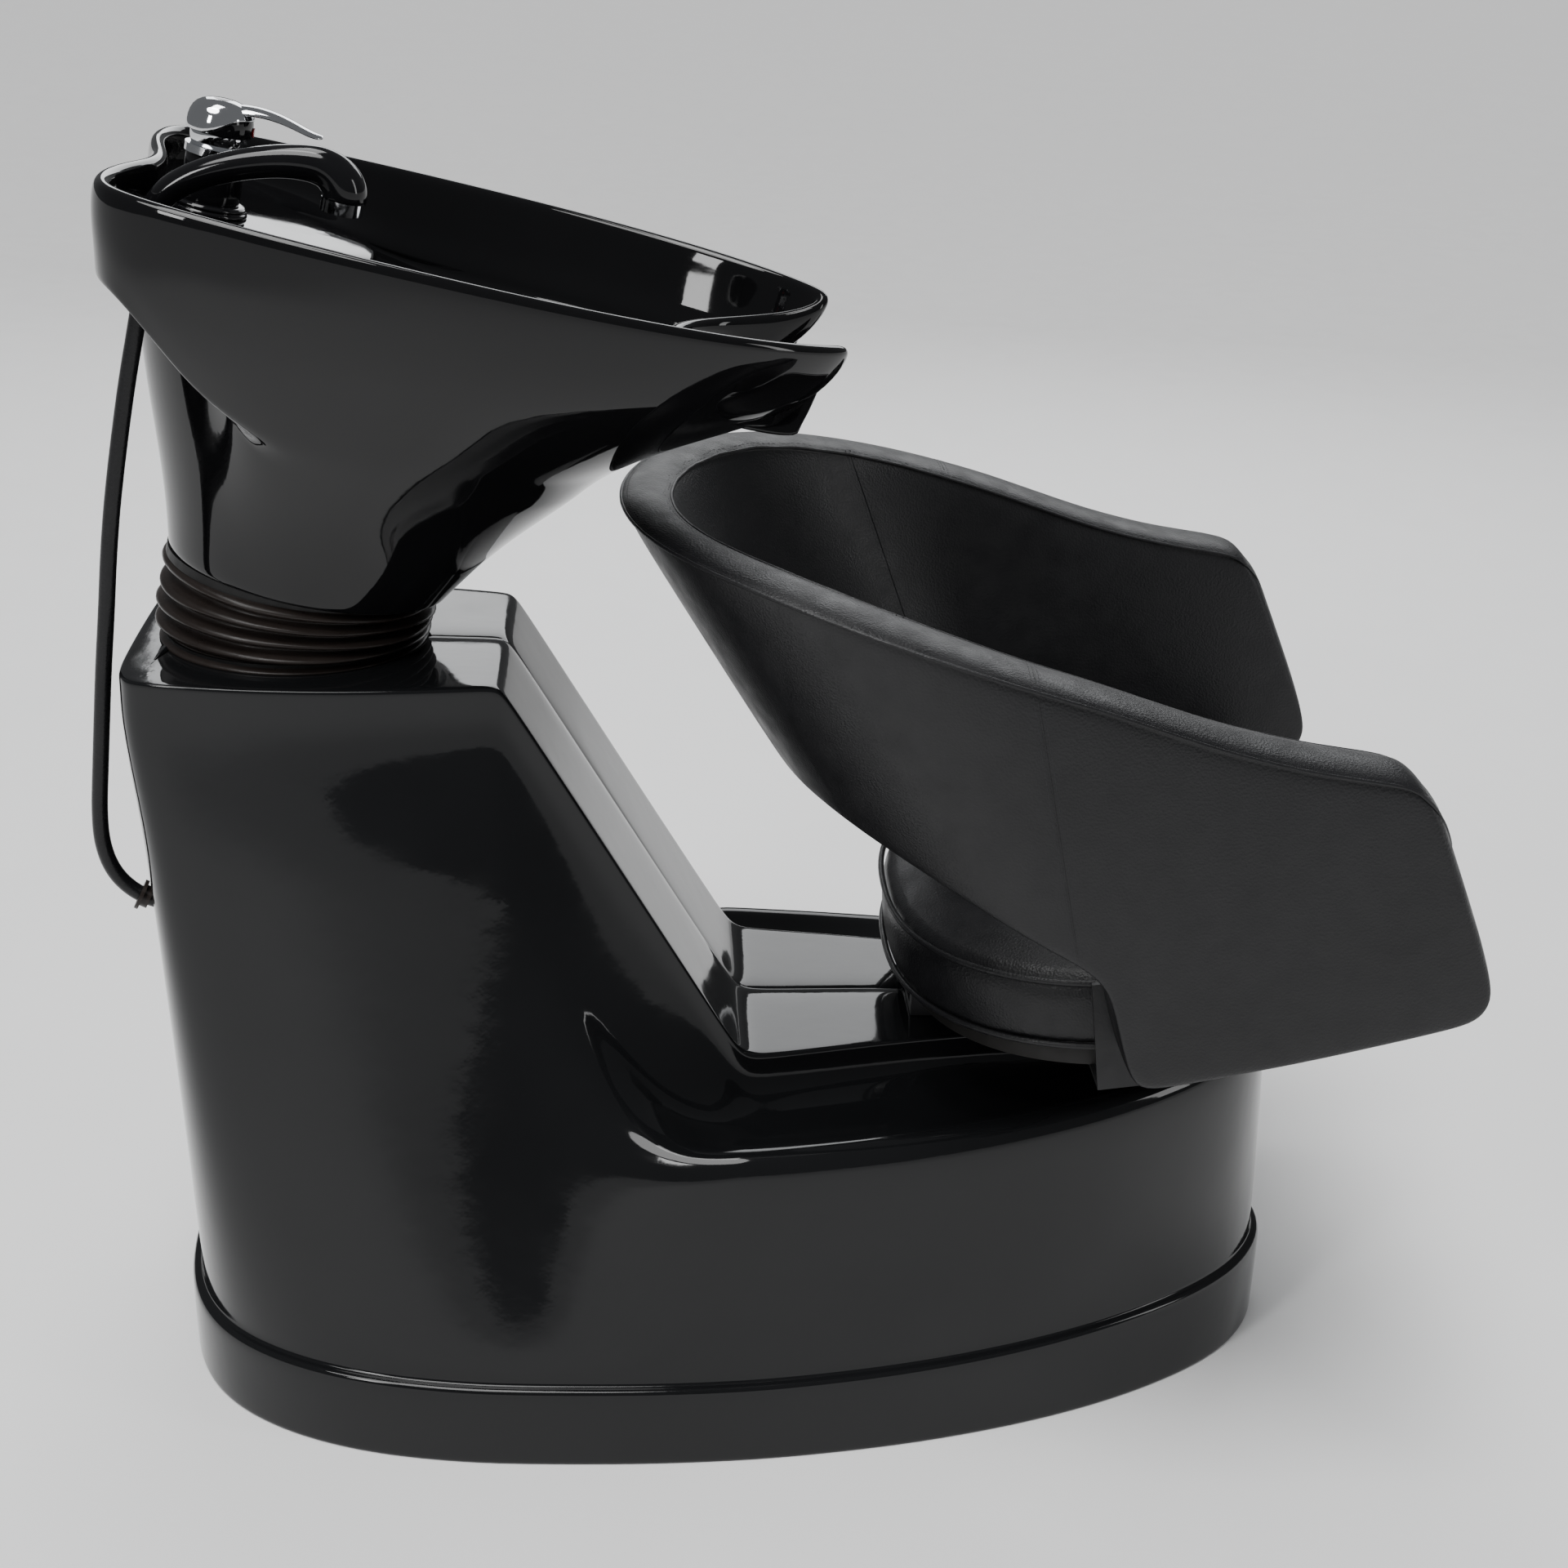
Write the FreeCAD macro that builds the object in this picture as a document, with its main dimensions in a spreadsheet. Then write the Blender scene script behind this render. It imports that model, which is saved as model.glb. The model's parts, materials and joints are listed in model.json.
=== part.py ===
import FreeCAD, Part
import Sketcher
import math
import os

# Shampoo backwash unit: glass-fibre base, tilting ceramic bowl on a bellows,
# single-lever mixer with a lift-out hand shower, and an upholstered chair.
# Millimetres. +X points to the customer's feet, +Z up, origin on the floor
# at the centre of the base's foot.

V = FreeCAD.Vector
doc = FreeCAD.newDocument("backwash_unit")
sheet = doc.addObject("Spreadsheet::Sheet", "sizes")

SIZES = [
    # base shell
    ("foot_length", 957), ("foot_half_width", 267), ("foot_widest_x", -126.5),
    ("plinth_height", 70), ("plinth_step", 8), ("ledge_height", 274), ("ledge_draft", 34),
    ("column_height", 618), ("column_lean", 28), ("column_depth", 297), ("column_half_width", 143),
    ("slope_foot_x", -8.5), ("platform_height", 305), ("platform_half_width", 122),
    ("platform_front_half", 66), ("platform_front_x", 430), ("shell_wall", 5), ("opening_radius", 98),
    # tilt bracket
    ("pivot_x", -368.5), ("pivot_rise", 42), ("bowl_tilt", 11.5),
    ("bracket_plate", 5), ("bracket_length", 112), ("bracket_width", 140), ("ear_thickness", 6),
    ("lower_ear_y", 58), ("ear_gap", 1.5), ("ear_width", 44), ("pivot_radius", 6), ("running_gap", 0.06),
    # bellows
    ("bellows_radius", 108), ("bellows_wall", 4), ("clamp_height", 7), ("ring_gap", 2.0), ("bellows_back", 13),
    # bowl, in its own level frame about the pivot
    ("ring_radius", 108), ("ring_height", 15), ("cavity_height", 40), ("basin_floor", 60),
    ("rim_height", 307), ("rim_rear", -194), ("rim_front", 367), ("rim_half_width", 211),
    ("band_height", 71), ("bowl_wall", 13), ("deck_height", 274), ("deck_thickness", 14),
    ("notch_half_width", 96), ("notch_height", 264), ("notch_rear", 240),
    ("drain_radius", 21), ("waste_bore", 15),
    # mixer and hand shower
    ("mixer_x", -126), ("mixer_radius", 23), ("mixer_height", 49), ("ball_radius", 21.5),
    ("handle_radius", 24.5), ("lever_reach", 70), ("lever_pin_radius", 2), ("holder_x", -150), ("holder_y", -95),
    ("holder_bore", 10.7), ("handle_bore", 5.2), ("spray_radius", 15.5), ("hose_radius", 6.5), ("hose_bore", 5),
    # chair
    ("chair_half_width", 319), ("arm_taper", 0.03), ("chair_rear_x", -121.5), ("chair_height", 741), ("arm_front_height", 629),
    ("back_rake", 0.66), ("arm_thickness", 62), ("back_thickness", 40), ("cover_thickness", 4),
    ("core_thickness", 12), ("trim_height", 12), ("layer_gap", 0.4),
    ("seat_rear_x", 119.5), ("seat_front_x", 505), ("seat_side_gap", 21), ("seat_board_z", 325), ("seat_tilt", 8),
    ("board_thickness", 18), ("cushion_thickness", 68),
    # services
    ("drain_pipe_radius", 20), ("supply_radius", 6),
]
for row, (alias, number) in enumerate(SIZES, start=1):
    sheet.set("A%d" % row, alias)
    sheet.set("B%d" % row, str(number))
    sheet.setAlias("B%d" % row, alias)
FOLLOWING = [
    ("pivot_height", "=column_height + pivot_rise"),
    ("seat_half_width", "=chair_half_width - arm_thickness - seat_side_gap"),
]
for row, (alias, formula) in enumerate(FOLLOWING, start=len(SIZES) + 1):
    sheet.set("A%d" % row, alias)
    sheet.set("B%d" % row, formula)
    sheet.setAlias("B%d" % row, alias)
doc.recompute()

nodes = {}


def val(text):
    """Value of an expression written with the sheet's names."""
    words = text if isinstance(text, str) else str(text)
    return float(sheet.evalExpression(words))


def bind(obj, prop, text):
    obj.setExpression(prop, str(text))


def keep(name, obj, place=None):
    """Label a finished sub-part, set its place and list it for export."""
    obj.Label = name
    if place is not None:
        obj.Placement = place
    nodes[name] = obj
    return obj


def move(x=0.0, y=0.0, z=0.0, axis=(0, 0, 1), angle=0.0):
    return FreeCAD.Placement(V(x, y, z), FreeCAD.Rotation(V(*axis), angle))


def box(name, size, corner):
    obj = doc.addObject("Part::Box", name)
    for prop, text in zip(("Length", "Width", "Height"), size):
        bind(obj, prop, text)
    for prop, text in zip("xyz", corner):
        bind(obj, "Placement.Base." + prop, text)
    return obj


TURNS = {"z": ((0, 0, 1), 0), "y": ((1, 0, 0), -90), "x": ((0, 1, 0), 90)}


def rod(name, radius, length, start, axis="z"):
    obj = doc.addObject("Part::Cylinder", name)
    bind(obj, "Radius", radius)
    bind(obj, "Height", length)
    direction, angle = TURNS[axis]
    obj.Placement = move(axis=direction, angle=angle)
    for prop, text in zip("xyz", start):
        bind(obj, "Placement.Base." + prop, text)
    return obj


def join(name, pieces):
    obj = doc.addObject("Part::MultiFuse", name)
    obj.Shapes = pieces
    return obj


def cut(name, base, tool):
    obj = doc.addObject("Part::Cut", name)
    obj.Base = base
    obj.Tool = tool
    return obj


def solid(name, shape, place=None):
    """A free-form sub-part whose shape is worked out in code."""
    obj = doc.addObject("Part::Feature", name)
    obj.Shape = shape
    return keep(name, obj, place)


def outline(body, name, role, points):
    """Closed straight-sided sketch; every corner is bound to a pair of expressions."""
    plane = [f for f in body.Origin.OriginFeatures if f.Role == role][0]
    sketch = body.newObject("Sketcher::SketchObject", name)
    sketch.AttachmentSupport = [(plane, "")]
    sketch.MapMode = "FlatFace"
    corners = [V(val(a), val(b), 0) for a, b in points]
    count = len(corners)
    for i in range(count):
        sketch.addGeometry(Part.LineSegment(corners[i], corners[(i + 1) % count]), False)
    for i in range(count):
        sketch.addConstraint(Sketcher.Constraint("Coincident", i, 2, (i + 1) % count, 1))
    for i, pair in enumerate(points):
        for kind, text, number in (("DistanceX", pair[0], corners[i].x), ("DistanceY", pair[1], corners[i].y)):
            index = sketch.addConstraint(Sketcher.Constraint(kind, -1, 1, i, 1, number))
            sketch.setExpression("Constraints[%d]" % index, str(text))
    return sketch


def turned(name, points):
    """Body of revolution about +Z from a radius/height outline."""
    body = doc.addObject("PartDesign::Body", name)
    sketch = outline(body, name + "_profile", "XZ_Plane", points)
    feature = body.newObject("PartDesign::Revolution", name + "_turn")
    feature.Profile = sketch
    feature.ReferenceAxis = (sketch, ["V_Axis"])
    feature.Angle = 360
    return body


def plate(name, points, thickness, role="XY_Plane"):
    """Padded plate, its sketch on one of the body's own origin planes."""
    body = doc.addObject("PartDesign::Body", name)
    sketch = outline(body, name + "_outline", role, points)
    feature = body.newObject("PartDesign::Pad", name + "_pad")
    feature.Profile = sketch
    bind(feature, "Length", thickness)
    return body


def egg(rear, front, widest, half, z, rear_power=2.0, front_power=2.0, count=28):
    """Closed smooth plan curve: a superellipse quarter on each side of the widest point."""
    points = []
    for i in range(count):
        turn = 2 * math.pi * (i + 0.5) / count
        c, s = math.cos(turn), math.sin(turn)
        power = front_power if c > 0 else rear_power
        reach = front - widest if c > 0 else widest - rear
        x = widest + math.copysign(abs(c) ** (2.0 / power) * reach, c)
        y = math.copysign(abs(s) ** (2.0 / power) * half, s)
        points.append(V(x, y, z))
    curve = Part.BSplineCurve()
    curve.interpolate(points, PeriodicFlag=True)
    return Part.Wire([curve.toShape()])


def loft(wires, ruled=True):
    return Part.makeLoft(wires, True, ruled)


def prism(points, low, high, plane="xz"):
    """Straight-sided block: a polygon in XZ swept from y low to high, or in XY from z low to high."""
    if plane == "xz":
        corners = [V(x, low, z) for x, z in points]
        reach = V(0, high - low, 0)
    else:
        corners = [V(x, y, low) for x, y in points]
        reach = V(0, 0, high - low)
    wire = Part.makePolygon(corners + [corners[0]])
    return Part.Face(wire).extrude(reach)


def rounded_path(points):
    """Straight runs joined by tangent arcs, each as large as its two runs allow."""
    knots = [V(*p) for p in points]
    edges = []
    start = knots[0]
    radii = []
    for before, corner, after in zip(knots, knots[1:], knots[2:]):
        into = corner.sub(before)
        out = after.sub(corner)
        half = into.getAngle(out) / 2
        trim = 0.45 * min(into.Length, out.Length)
        radii.append(trim / math.tan(half))
        into.normalize()
        out.normalize()
        first = corner.sub(V(into).multiply(trim))
        last = corner.add(V(out).multiply(trim))
        inward = V(out).sub(into)
        inward.normalize()
        centre = corner.add(V(inward).multiply(radii[-1] / math.cos(half)))
        to_corner = corner.sub(centre)
        to_corner.normalize()
        middle = centre.add(to_corner.multiply(radii[-1]))
        edges.append(Part.LineSegment(start, first).toShape())
        edges.append(Part.Arc(first, middle, last).toShape())
        start = last
    edges.append(Part.LineSegment(start, knots[-1]).toShape())
    return Part.Wire(edges), radii


def tube(points, radius, bore=0.0):
    """Round hose along a rounded path, with the path's length and radii."""
    path, radii = rounded_path(points)
    heading = V(*points[1]).sub(V(*points[0]))

    def skin(size):
        ring = Part.Wire([Part.Circle(V(*points[0]), heading, size).toShape()])
        return path.makePipeShell([ring], True, True)

    shape = skin(radius)
    section = math.pi * radius ** 2
    if bore:
        shape = shape.cut(skin(bore))
        section -= math.pi * bore ** 2
    return shape, path.Length, radii, section


# ---------------------------------------------------------------- frames of reference

TILT = move(val("pivot_x"), 0, val("pivot_height"), (0, 1, 0), val("bowl_tilt"))


def in_bowl(x, y, z):
    """A point of the level bowl, given about the pivot, where it lies in the tilted bowl."""
    return TILT.multVec(V(x, y, z))


# ---------------------------------------------------------------- glass-fibre base

FOOT_REAR = -val("foot_length") / 2
FOOT_FRONT = val("foot_length") / 2
COLUMN_TOP = val("column_height")
COLUMN_REAR = FOOT_REAR - val("column_lean")
COLUMN_FRONT = COLUMN_REAR + val("column_depth")


def base_solid(inset):
    """Outer form of the base, or the hollow inside it when inset is the wall."""
    plinth = val("plinth_height")
    step = val("plinth_step")
    half = val("foot_half_width") - inset
    ledge = val("ledge_height") - inset
    draft = val("ledge_draft")
    wide = val("foot_widest_x")
    rise = val("column_lean") / COLUMN_TOP
    low = -1.0 if inset else 0.0

    def ring(z, side, lean):
        return egg(FOOT_REAR + inset - rise * z + lean, FOOT_FRONT - inset - lean, wide, side, z, 2.8, 1.95)

    plinth_block = loft([ring(low, half, 0), ring(plinth - inset, half, 0)])
    hull = loft([ring(low, half - step, step), ring(ledge, half - step - draft, step)])
    top = COLUMN_TOP - inset
    column_low = egg(FOOT_REAR + inset, 330, -200, 252 - inset, low, 2.8, 2.0)
    column_high = egg(COLUMN_REAR + inset, -76, COLUMN_REAR + 0.47 * val("column_depth"),
                      val("column_half_width") - inset, top, 3.2, 2.0)
    column = loft([column_low, column_high])
    # the sloping front face runs from the column's top edge down to the platform
    foot_x = val("slope_foot_x")
    foot_z = val("platform_height")
    slope = (COLUMN_TOP - foot_z) / (foot_x - COLUMN_FRONT)
    back = inset * math.hypot(1, slope) / slope
    front = [(COLUMN_FRONT - back - 300 / slope, COLUMN_TOP + 300), (900, COLUMN_TOP + 300), (900, -60),
             (foot_x - back + (foot_z + 60) / slope, -60)]
    column = column.cut(prism(front, -400, 400))
    # the flanks beside the slope are scooped back to the platform's width
    side = val("platform_half_width") - inset
    scoop_x = foot_x - 128 - inset
    for sign in (-1, 1):
        scoop = Part.makeBox(900, 300, 700, V(scoop_x, side if sign > 0 else -side - 300, ledge))
        scoop = scoop.fuse(Part.makeCylinder(60, 700, V(scoop_x, sign * (side + 60), ledge)))
        column = column.cut(scoop)
    tip = val("platform_front_half") - inset
    tip_x = val("platform_front_x") - inset
    block = [(COLUMN_FRONT, side), (foot_x, side), (tip_x, tip), (tip_x, -tip), (foot_x, -side), (COLUMN_FRONT, -side)]
    platform = prism(block, ledge - 60, val("platform_height") - inset, "xy")
    return plinth_block.fuse([hull, column, platform])


def base_shells():
    outer = base_solid(0.0)
    inner = base_solid(val("shell_wall"))
    skin = outer.cut(inner)
    px = val("pivot_x")
    skin = skin.cut(Part.makeCylinder(val("opening_radius"), 60, V(px - val("bellows_back"), 0, COLUMN_TOP - 40)))
    spot, heading = hose_entry()
    skin = skin.cut(Part.makeCylinder(val("hose_radius") + 3.2, 60, spot.sub(V(heading).multiply(30)), heading))
    reach = val("foot_length") + 400
    half = Part.makeBox(2 * reach, 600, 900, V(-reach, 0, -50))
    solid("base_shell_left", largest(skin.common(half)))
    solid("base_shell_right", largest(skin.cut(half)))


def largest(shape):
    return sorted(shape.Solids, key=lambda s: s.Volume)[-1]


def rear_face_x(z):
    return FOOT_REAR - val("column_lean") * z / COLUMN_TOP


def steel_frame():
    """Welded frame inside the shells: floor rails, bowl posts with a head plate, seat posts."""
    px = "sizes.pivot_x"
    pieces = []
    for side, y in (("l", 88), ("r", -118)):
        pieces.append(box("rail_" + side, (720, 30, 30), ("-420", y, 6)))
    for number, x in enumerate((-420, -15, 270)):
        pieces.append(box("tie_%d" % number, (30, 236, 30), (x, -118, 6)))
    for side, y in (("l", 65), ("r", -105)):
        pieces.append(box("post_" + side, (40, 40, "sizes.column_height - sizes.shell_wall - 2*sizes.bracket_plate - 37"),
                          (px + " - 20", y, 36)))
        pieces.append(box("post_foot_" + side, (60, 60, 30), (px + " - 30", 60 if y > 0 else -120, 6)))
    pieces.append(box("head_plate", (112, 210, "sizes.bracket_plate"),
                      (px + " - 56", -105, "sizes.column_height - sizes.shell_wall - 2*sizes.bracket_plate - 1")))
    for number, x in enumerate((150, 270)):
        for side, y in (("l", 40), ("r", -70)):
            pieces.append(box("seat_post_%d%s" % (number, side), (30, 30, "sizes.platform_height - sizes.shell_wall - 37"),
                              (x, y, 36)))
    for number, x in enumerate((-330, 230)):
        for side, y in (("l", 100), ("r", -160)):
            pieces.append(box("foot_%d%s" % (number, side), (80, 60, 6), (x - 40, y, 0)))
    tools = [rod("pipe_hole", 34, 40, (px, 0, "sizes.column_height - 50"))]
    for number, x in enumerate((-330, 230)):
        for side, y in (("l", 140), ("r", -140)):
            tools.append(rod("anchor_hole_%d%s" % (number, side), 6, 40, (x, y, -10)))
    keep("steel_frame", cut("frame_cut", join("frame_raw", pieces), join("frame_holes", tools)))


BRACKET_Z = "(sizes.column_height - sizes.shell_wall - sizes.bracket_plate - 1)"


def lower_bracket():
    """Folded steel fork bolted to the head plate; its two ears carry the pivot bolts."""
    px = "sizes.pivot_x"
    pieces = [box("lower_plate", ("sizes.bracket_length", "sizes.bracket_width", "sizes.bracket_plate"),
                  (px + " - sizes.bracket_length/2", "-sizes.bracket_width/2", BRACKET_Z))]
    tools = [rod("lower_pipe_hole", 34, 40, (px, 0, "sizes.column_height - 30"))]
    for side, y in (("l", "sizes.lower_ear_y"), ("r", "-sizes.lower_ear_y - sizes.ear_thickness")):
        pieces.append(box("lower_ear_" + side,
                          ("sizes.ear_width", "sizes.ear_thickness", "sizes.pivot_height + 17 - " + BRACKET_Z),
                          (px + " - sizes.ear_width/2", y, BRACKET_Z)))
    tools.append(rod("lower_pivot_hole", "sizes.pivot_radius + 0.02", 300, (px, -150, "sizes.pivot_height"), "y"))
    keep("lower_tilt_bracket", cut("lower_bracket_cut", join("lower_bracket_raw", pieces),
                                   join("lower_bracket_holes", tools)))


def upper_bracket():
    """Saddle under the bowl, in the bowl's frame about the pivot."""
    inner = "sizes.lower_ear_y + sizes.ear_thickness + sizes.ear_gap"
    pieces = [box("upper_plate", ("sizes.bracket_length", "2*(%s + sizes.ear_thickness)" % inner, 6),
                  ("-sizes.bracket_length/2", "-(%s + sizes.ear_thickness)" % inner, "sizes.cavity_height - 6"))]
    for side, y in (("l", inner), ("r", "-(%s) - sizes.ear_thickness" % inner)):
        pieces.append(box("upper_ear_" + side, ("sizes.ear_width", "sizes.ear_thickness", "sizes.cavity_height + 16"),
                          ("-sizes.ear_width/2", y, -16)))
    tools = [rod("upper_pipe_hole", 33, 40, (0, 0, 10)),
             rod("upper_pivot_hole", "sizes.pivot_radius + sizes.running_gap", 300, (0, -150, 0), "y")]
    for number, (x, y) in enumerate(((42, 45), (42, -45), (-42, 45), (-42, -45))):
        tools.append(rod("saddle_hole_%d" % number, 4.2, 40, (x, y, 10)))
    keep("upper_tilt_bracket", cut("upper_bracket_cut", join("upper_bracket_raw", pieces),
                                   join("upper_bracket_holes", tools)), TILT)


def pivot_hardware():
    """Two pivot bolts through the ears, their nuts, and the four saddle bolts."""
    px, pz = val("pivot_x"), val("pivot_height")
    ear = val("lower_ear_y")
    outer = ear + 2 * val("ear_thickness") + val("ear_gap") + 0.4
    radius = val("pivot_radius")
    bolts, nuts, saddle = [], [], []
    for sign in (-1, 1):
        shank = Part.makeCylinder(radius, outer - ear + 9, V(px, sign * (ear - 9), pz), V(0, sign, 0))
        head = Part.makeCylinder(10, 6, V(px, sign * outer, pz), V(0, sign, 0))
        bolts.append(shank.fuse(head))
        nut = Part.makeCylinder(10, 7, V(px, sign * (ear - 7.1), pz), V(0, sign, 0))
        nuts.append(nut.cut(Part.makeCylinder(radius + 0.02, 30, V(px, sign * (ear - 20), pz), V(0, sign, 0))))
    for x in (-42, 42):
        for y in (-45, 45):
            shank = Part.makeCylinder(4, 22, V(x, y, val("cavity_height") - 6))
            head = Part.makeCylinder(7, 5, V(x, y, val("cavity_height") - 11))
            saddle.append(shank.fuse(head))
    solid("pivot_bolts", Part.makeCompound(bolts))
    solid("pivot_nuts", Part.makeCompound(nuts))
    solid("saddle_bolts", Part.makeCompound(saddle), TILT)


def bellows():
    """Rubber boot between the column and the bowl, with a clamp ring at each end."""
    px = val("pivot_x")
    radius, wall, clamp = val("bellows_radius"), val("bellows_wall"), val("clamp_height")
    low = COLUMN_TOP
    ring = "sizes.bellows_radius - sizes.bellows_wall - sizes.ring_gap"
    lower = turned("bellows_lower_ring", [("sizes.opening_radius + 1", 0), (ring, 0), (ring, "sizes.clamp_height"),
                                          ("sizes.opening_radius + 1", "sizes.clamp_height")])
    back = val("bellows_back")
    keep("bellows_lower_ring", lower, move(px - back, 0, low))
    upper = turned("bellows_upper_ring", [("sizes.ring_radius - 10", "sizes.ring_height - sizes.clamp_height"),
                                          (ring, "sizes.ring_height - sizes.clamp_height"),
                                          (ring, "sizes.ring_height"),
                                          ("sizes.ring_radius - 10", "sizes.ring_height")])
    keep("bellows_upper_ring", upper, TILT.multiply(move(-back)))

    def circle(size, top):
        centre = in_bowl(-back, 0, val("ring_height") - 0.3) if top else V(px - back, 0, low + 0.2)
        normal = TILT.Rotation.multVec(V(0, 0, 1)) if top else V(0, 0, 1)
        side = V(0, 1, 0)
        round_edge = Part.Circle(centre, normal, size)
        round_edge.XAxis = side
        return Part.Wire([round_edge.toShape()])

    skin = loft([circle(radius, False), circle(radius, True)])
    hollow = loft([circle(radius - wall, False), circle(radius - wall, True)])
    solid("bellows", skin.cut(hollow))


# ---------------------------------------------------------------- ceramic bowl

def rim_egg(inset, z):
    return egg(val("rim_rear") + inset, val("rim_front") - inset, 70, val("rim_half_width") - inset, z, 3.0, 2.8)


def bowl():
    """Cast bowl on its pedestal: flared basin, hanging rear band, tap deck and neck notch."""
    ring, low = val("ring_radius"), val("ring_height")
    rim, wall = val("rim_height"), val("bowl_wall")
    half, front = val("rim_half_width"), val("rim_front")
    band_low = rim - val("band_height")
    levels = [(low, -ring - 8, ring, -4, ring, 2.0, 2.0), (66, -124, 134, 0, 119, 2.0, 2.0),
              (115, -143, 168, 5, 141, 2.0, 2.1), (175, -160, 0.68 * front, 25, 0.80 * half, 2.0, 2.3),
              (band_low + 4, -168, 0.90 * front, 60, 0.94 * half, 2.2, 2.6)]
    body = loft([egg(a, b, c, d, z, p, q) for z, a, b, c, d, p, q in levels])
    upper = loft([egg(-168, 0.90 * front, 60, 0.94 * half, band_low + 4, 2.2, 2.6), rim_egg(0, rim)])
    band = loft([rim_egg(3, band_low), rim_egg(0, rim)])
    forward = Part.makeBox(600, 600, 400, V(60, -300, 0))
    band = band.cut(forward)
    outer = body.fuse([upper, band])
    # basin, with the tap deck left standing behind it
    deck = val("deck_height")
    floor = val("basin_floor")
    basin = loft([egg(-38, 44, 0, 40, floor, 2, 2), egg(-46, 110, 8, 78, 100, 2, 2),
                  egg(-46, 0.60 * front, 25, 0.70 * half, 190, 2, 2.4),
                  egg(-30, front - 28, 80, half - 20, deck, 2, 2.8)])
    dish = loft([rim_egg(wall, deck - 0.01), rim_egg(wall, rim + 1)])
    outer = outer.cut(basin.fuse(dish))
    # neck notch between the two front horns
    notch_half, notch_z = val("notch_half_width"), val("notch_height")
    notch = Part.makeCylinder(notch_half, 80, V(val("notch_rear") + notch_half, 0, notch_z))
    notch = notch.fuse(Part.makeBox(200, 2 * notch_half, 80, V(val("notch_rear") + notch_half, -notch_half, notch_z)))
    outer = outer.cut(notch)
    # space under the deck and inside the pedestal for the bracket, waste and hoses
    cavity = val("cavity_height")
    under = loft([rim_egg(wall, band_low - 2), rim_egg(wall, deck - val("deck_thickness"))])
    under = under.cut(Part.makeBox(900, 600, 400, V(-90, -300, 0))).cut(body)
    pocket = Part.makeCylinder(23, deck - val("deck_thickness") - 80, V(val("holder_x"), val("holder_y"), 80))
    shaft = loft([egg(-98, -46, -72, 26, cavity - 2, 2, 2),
                  egg(val("mixer_x") - 36, val("mixer_x") + 36, val("mixer_x"), 36, deck - val("deck_thickness"), 2, 2)])
    tools = [under, pocket, shaft, Part.makeCylinder(ring - wall, cavity - low + 5, V(0, 0, low - 5)),
             Part.makeCylinder(val("drain_radius"), floor, V(0, 0, cavity - 5)),
             Part.makeCylinder(val("mixer_radius") - 6, 60, V(val("mixer_x"), 0, deck - 30)),
             Part.makeCylinder(12.5, 60, V(val("holder_x"), val("holder_y"), deck - 30))]
    for x in (-42, 42):
        for y in (-45, 45):
            tools.append(Part.makeCylinder(4, 17, V(x, y, cavity - 0.5)))
    for tool in tools:
        outer = outer.cut(tool)
    solid("bowl", largest(outer), TILT)


def waste():
    """Chromed waste with its back nut, and the lift-out strainer."""
    floor, cavity = "sizes.basin_floor", "sizes.cavity_height"
    body = turned("drain_waste", [("sizes.waste_bore", -6), ("sizes.drain_radius - 1", -6),
                                  ("sizes.drain_radius - 1", floor), (33, floor), (33, floor + " + 3"),
                                  ("sizes.waste_bore", floor + " + 3")])
    keep("drain_waste", body, TILT)
    nut = turned("drain_nut", [("sizes.drain_radius - 0.9", cavity + " - 12"), (30, cavity + " - 12"),
                               (30, cavity), ("sizes.drain_radius - 0.9", cavity)])
    keep("drain_nut", nut, TILT)
    top = val("basin_floor") + 3.2
    cap = Part.makeCylinder(27, 2.5, V(0, 0, top)).fuse(Part.makeCylinder(val("waste_bore") - 1.5, 12, V(0, 0, top - 11.8)))
    for ring, count in ((8, 6), (20, 14)):
        for i in range(count):
            turn = 2 * math.pi * i / count
            cap = cap.cut(Part.makeCylinder(1.8, 60, V(ring * math.cos(turn), ring * math.sin(turn), top - 20)))
    solid("drain_strainer", cap, TILT)


# ---------------------------------------------------------------- mixer

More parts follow.
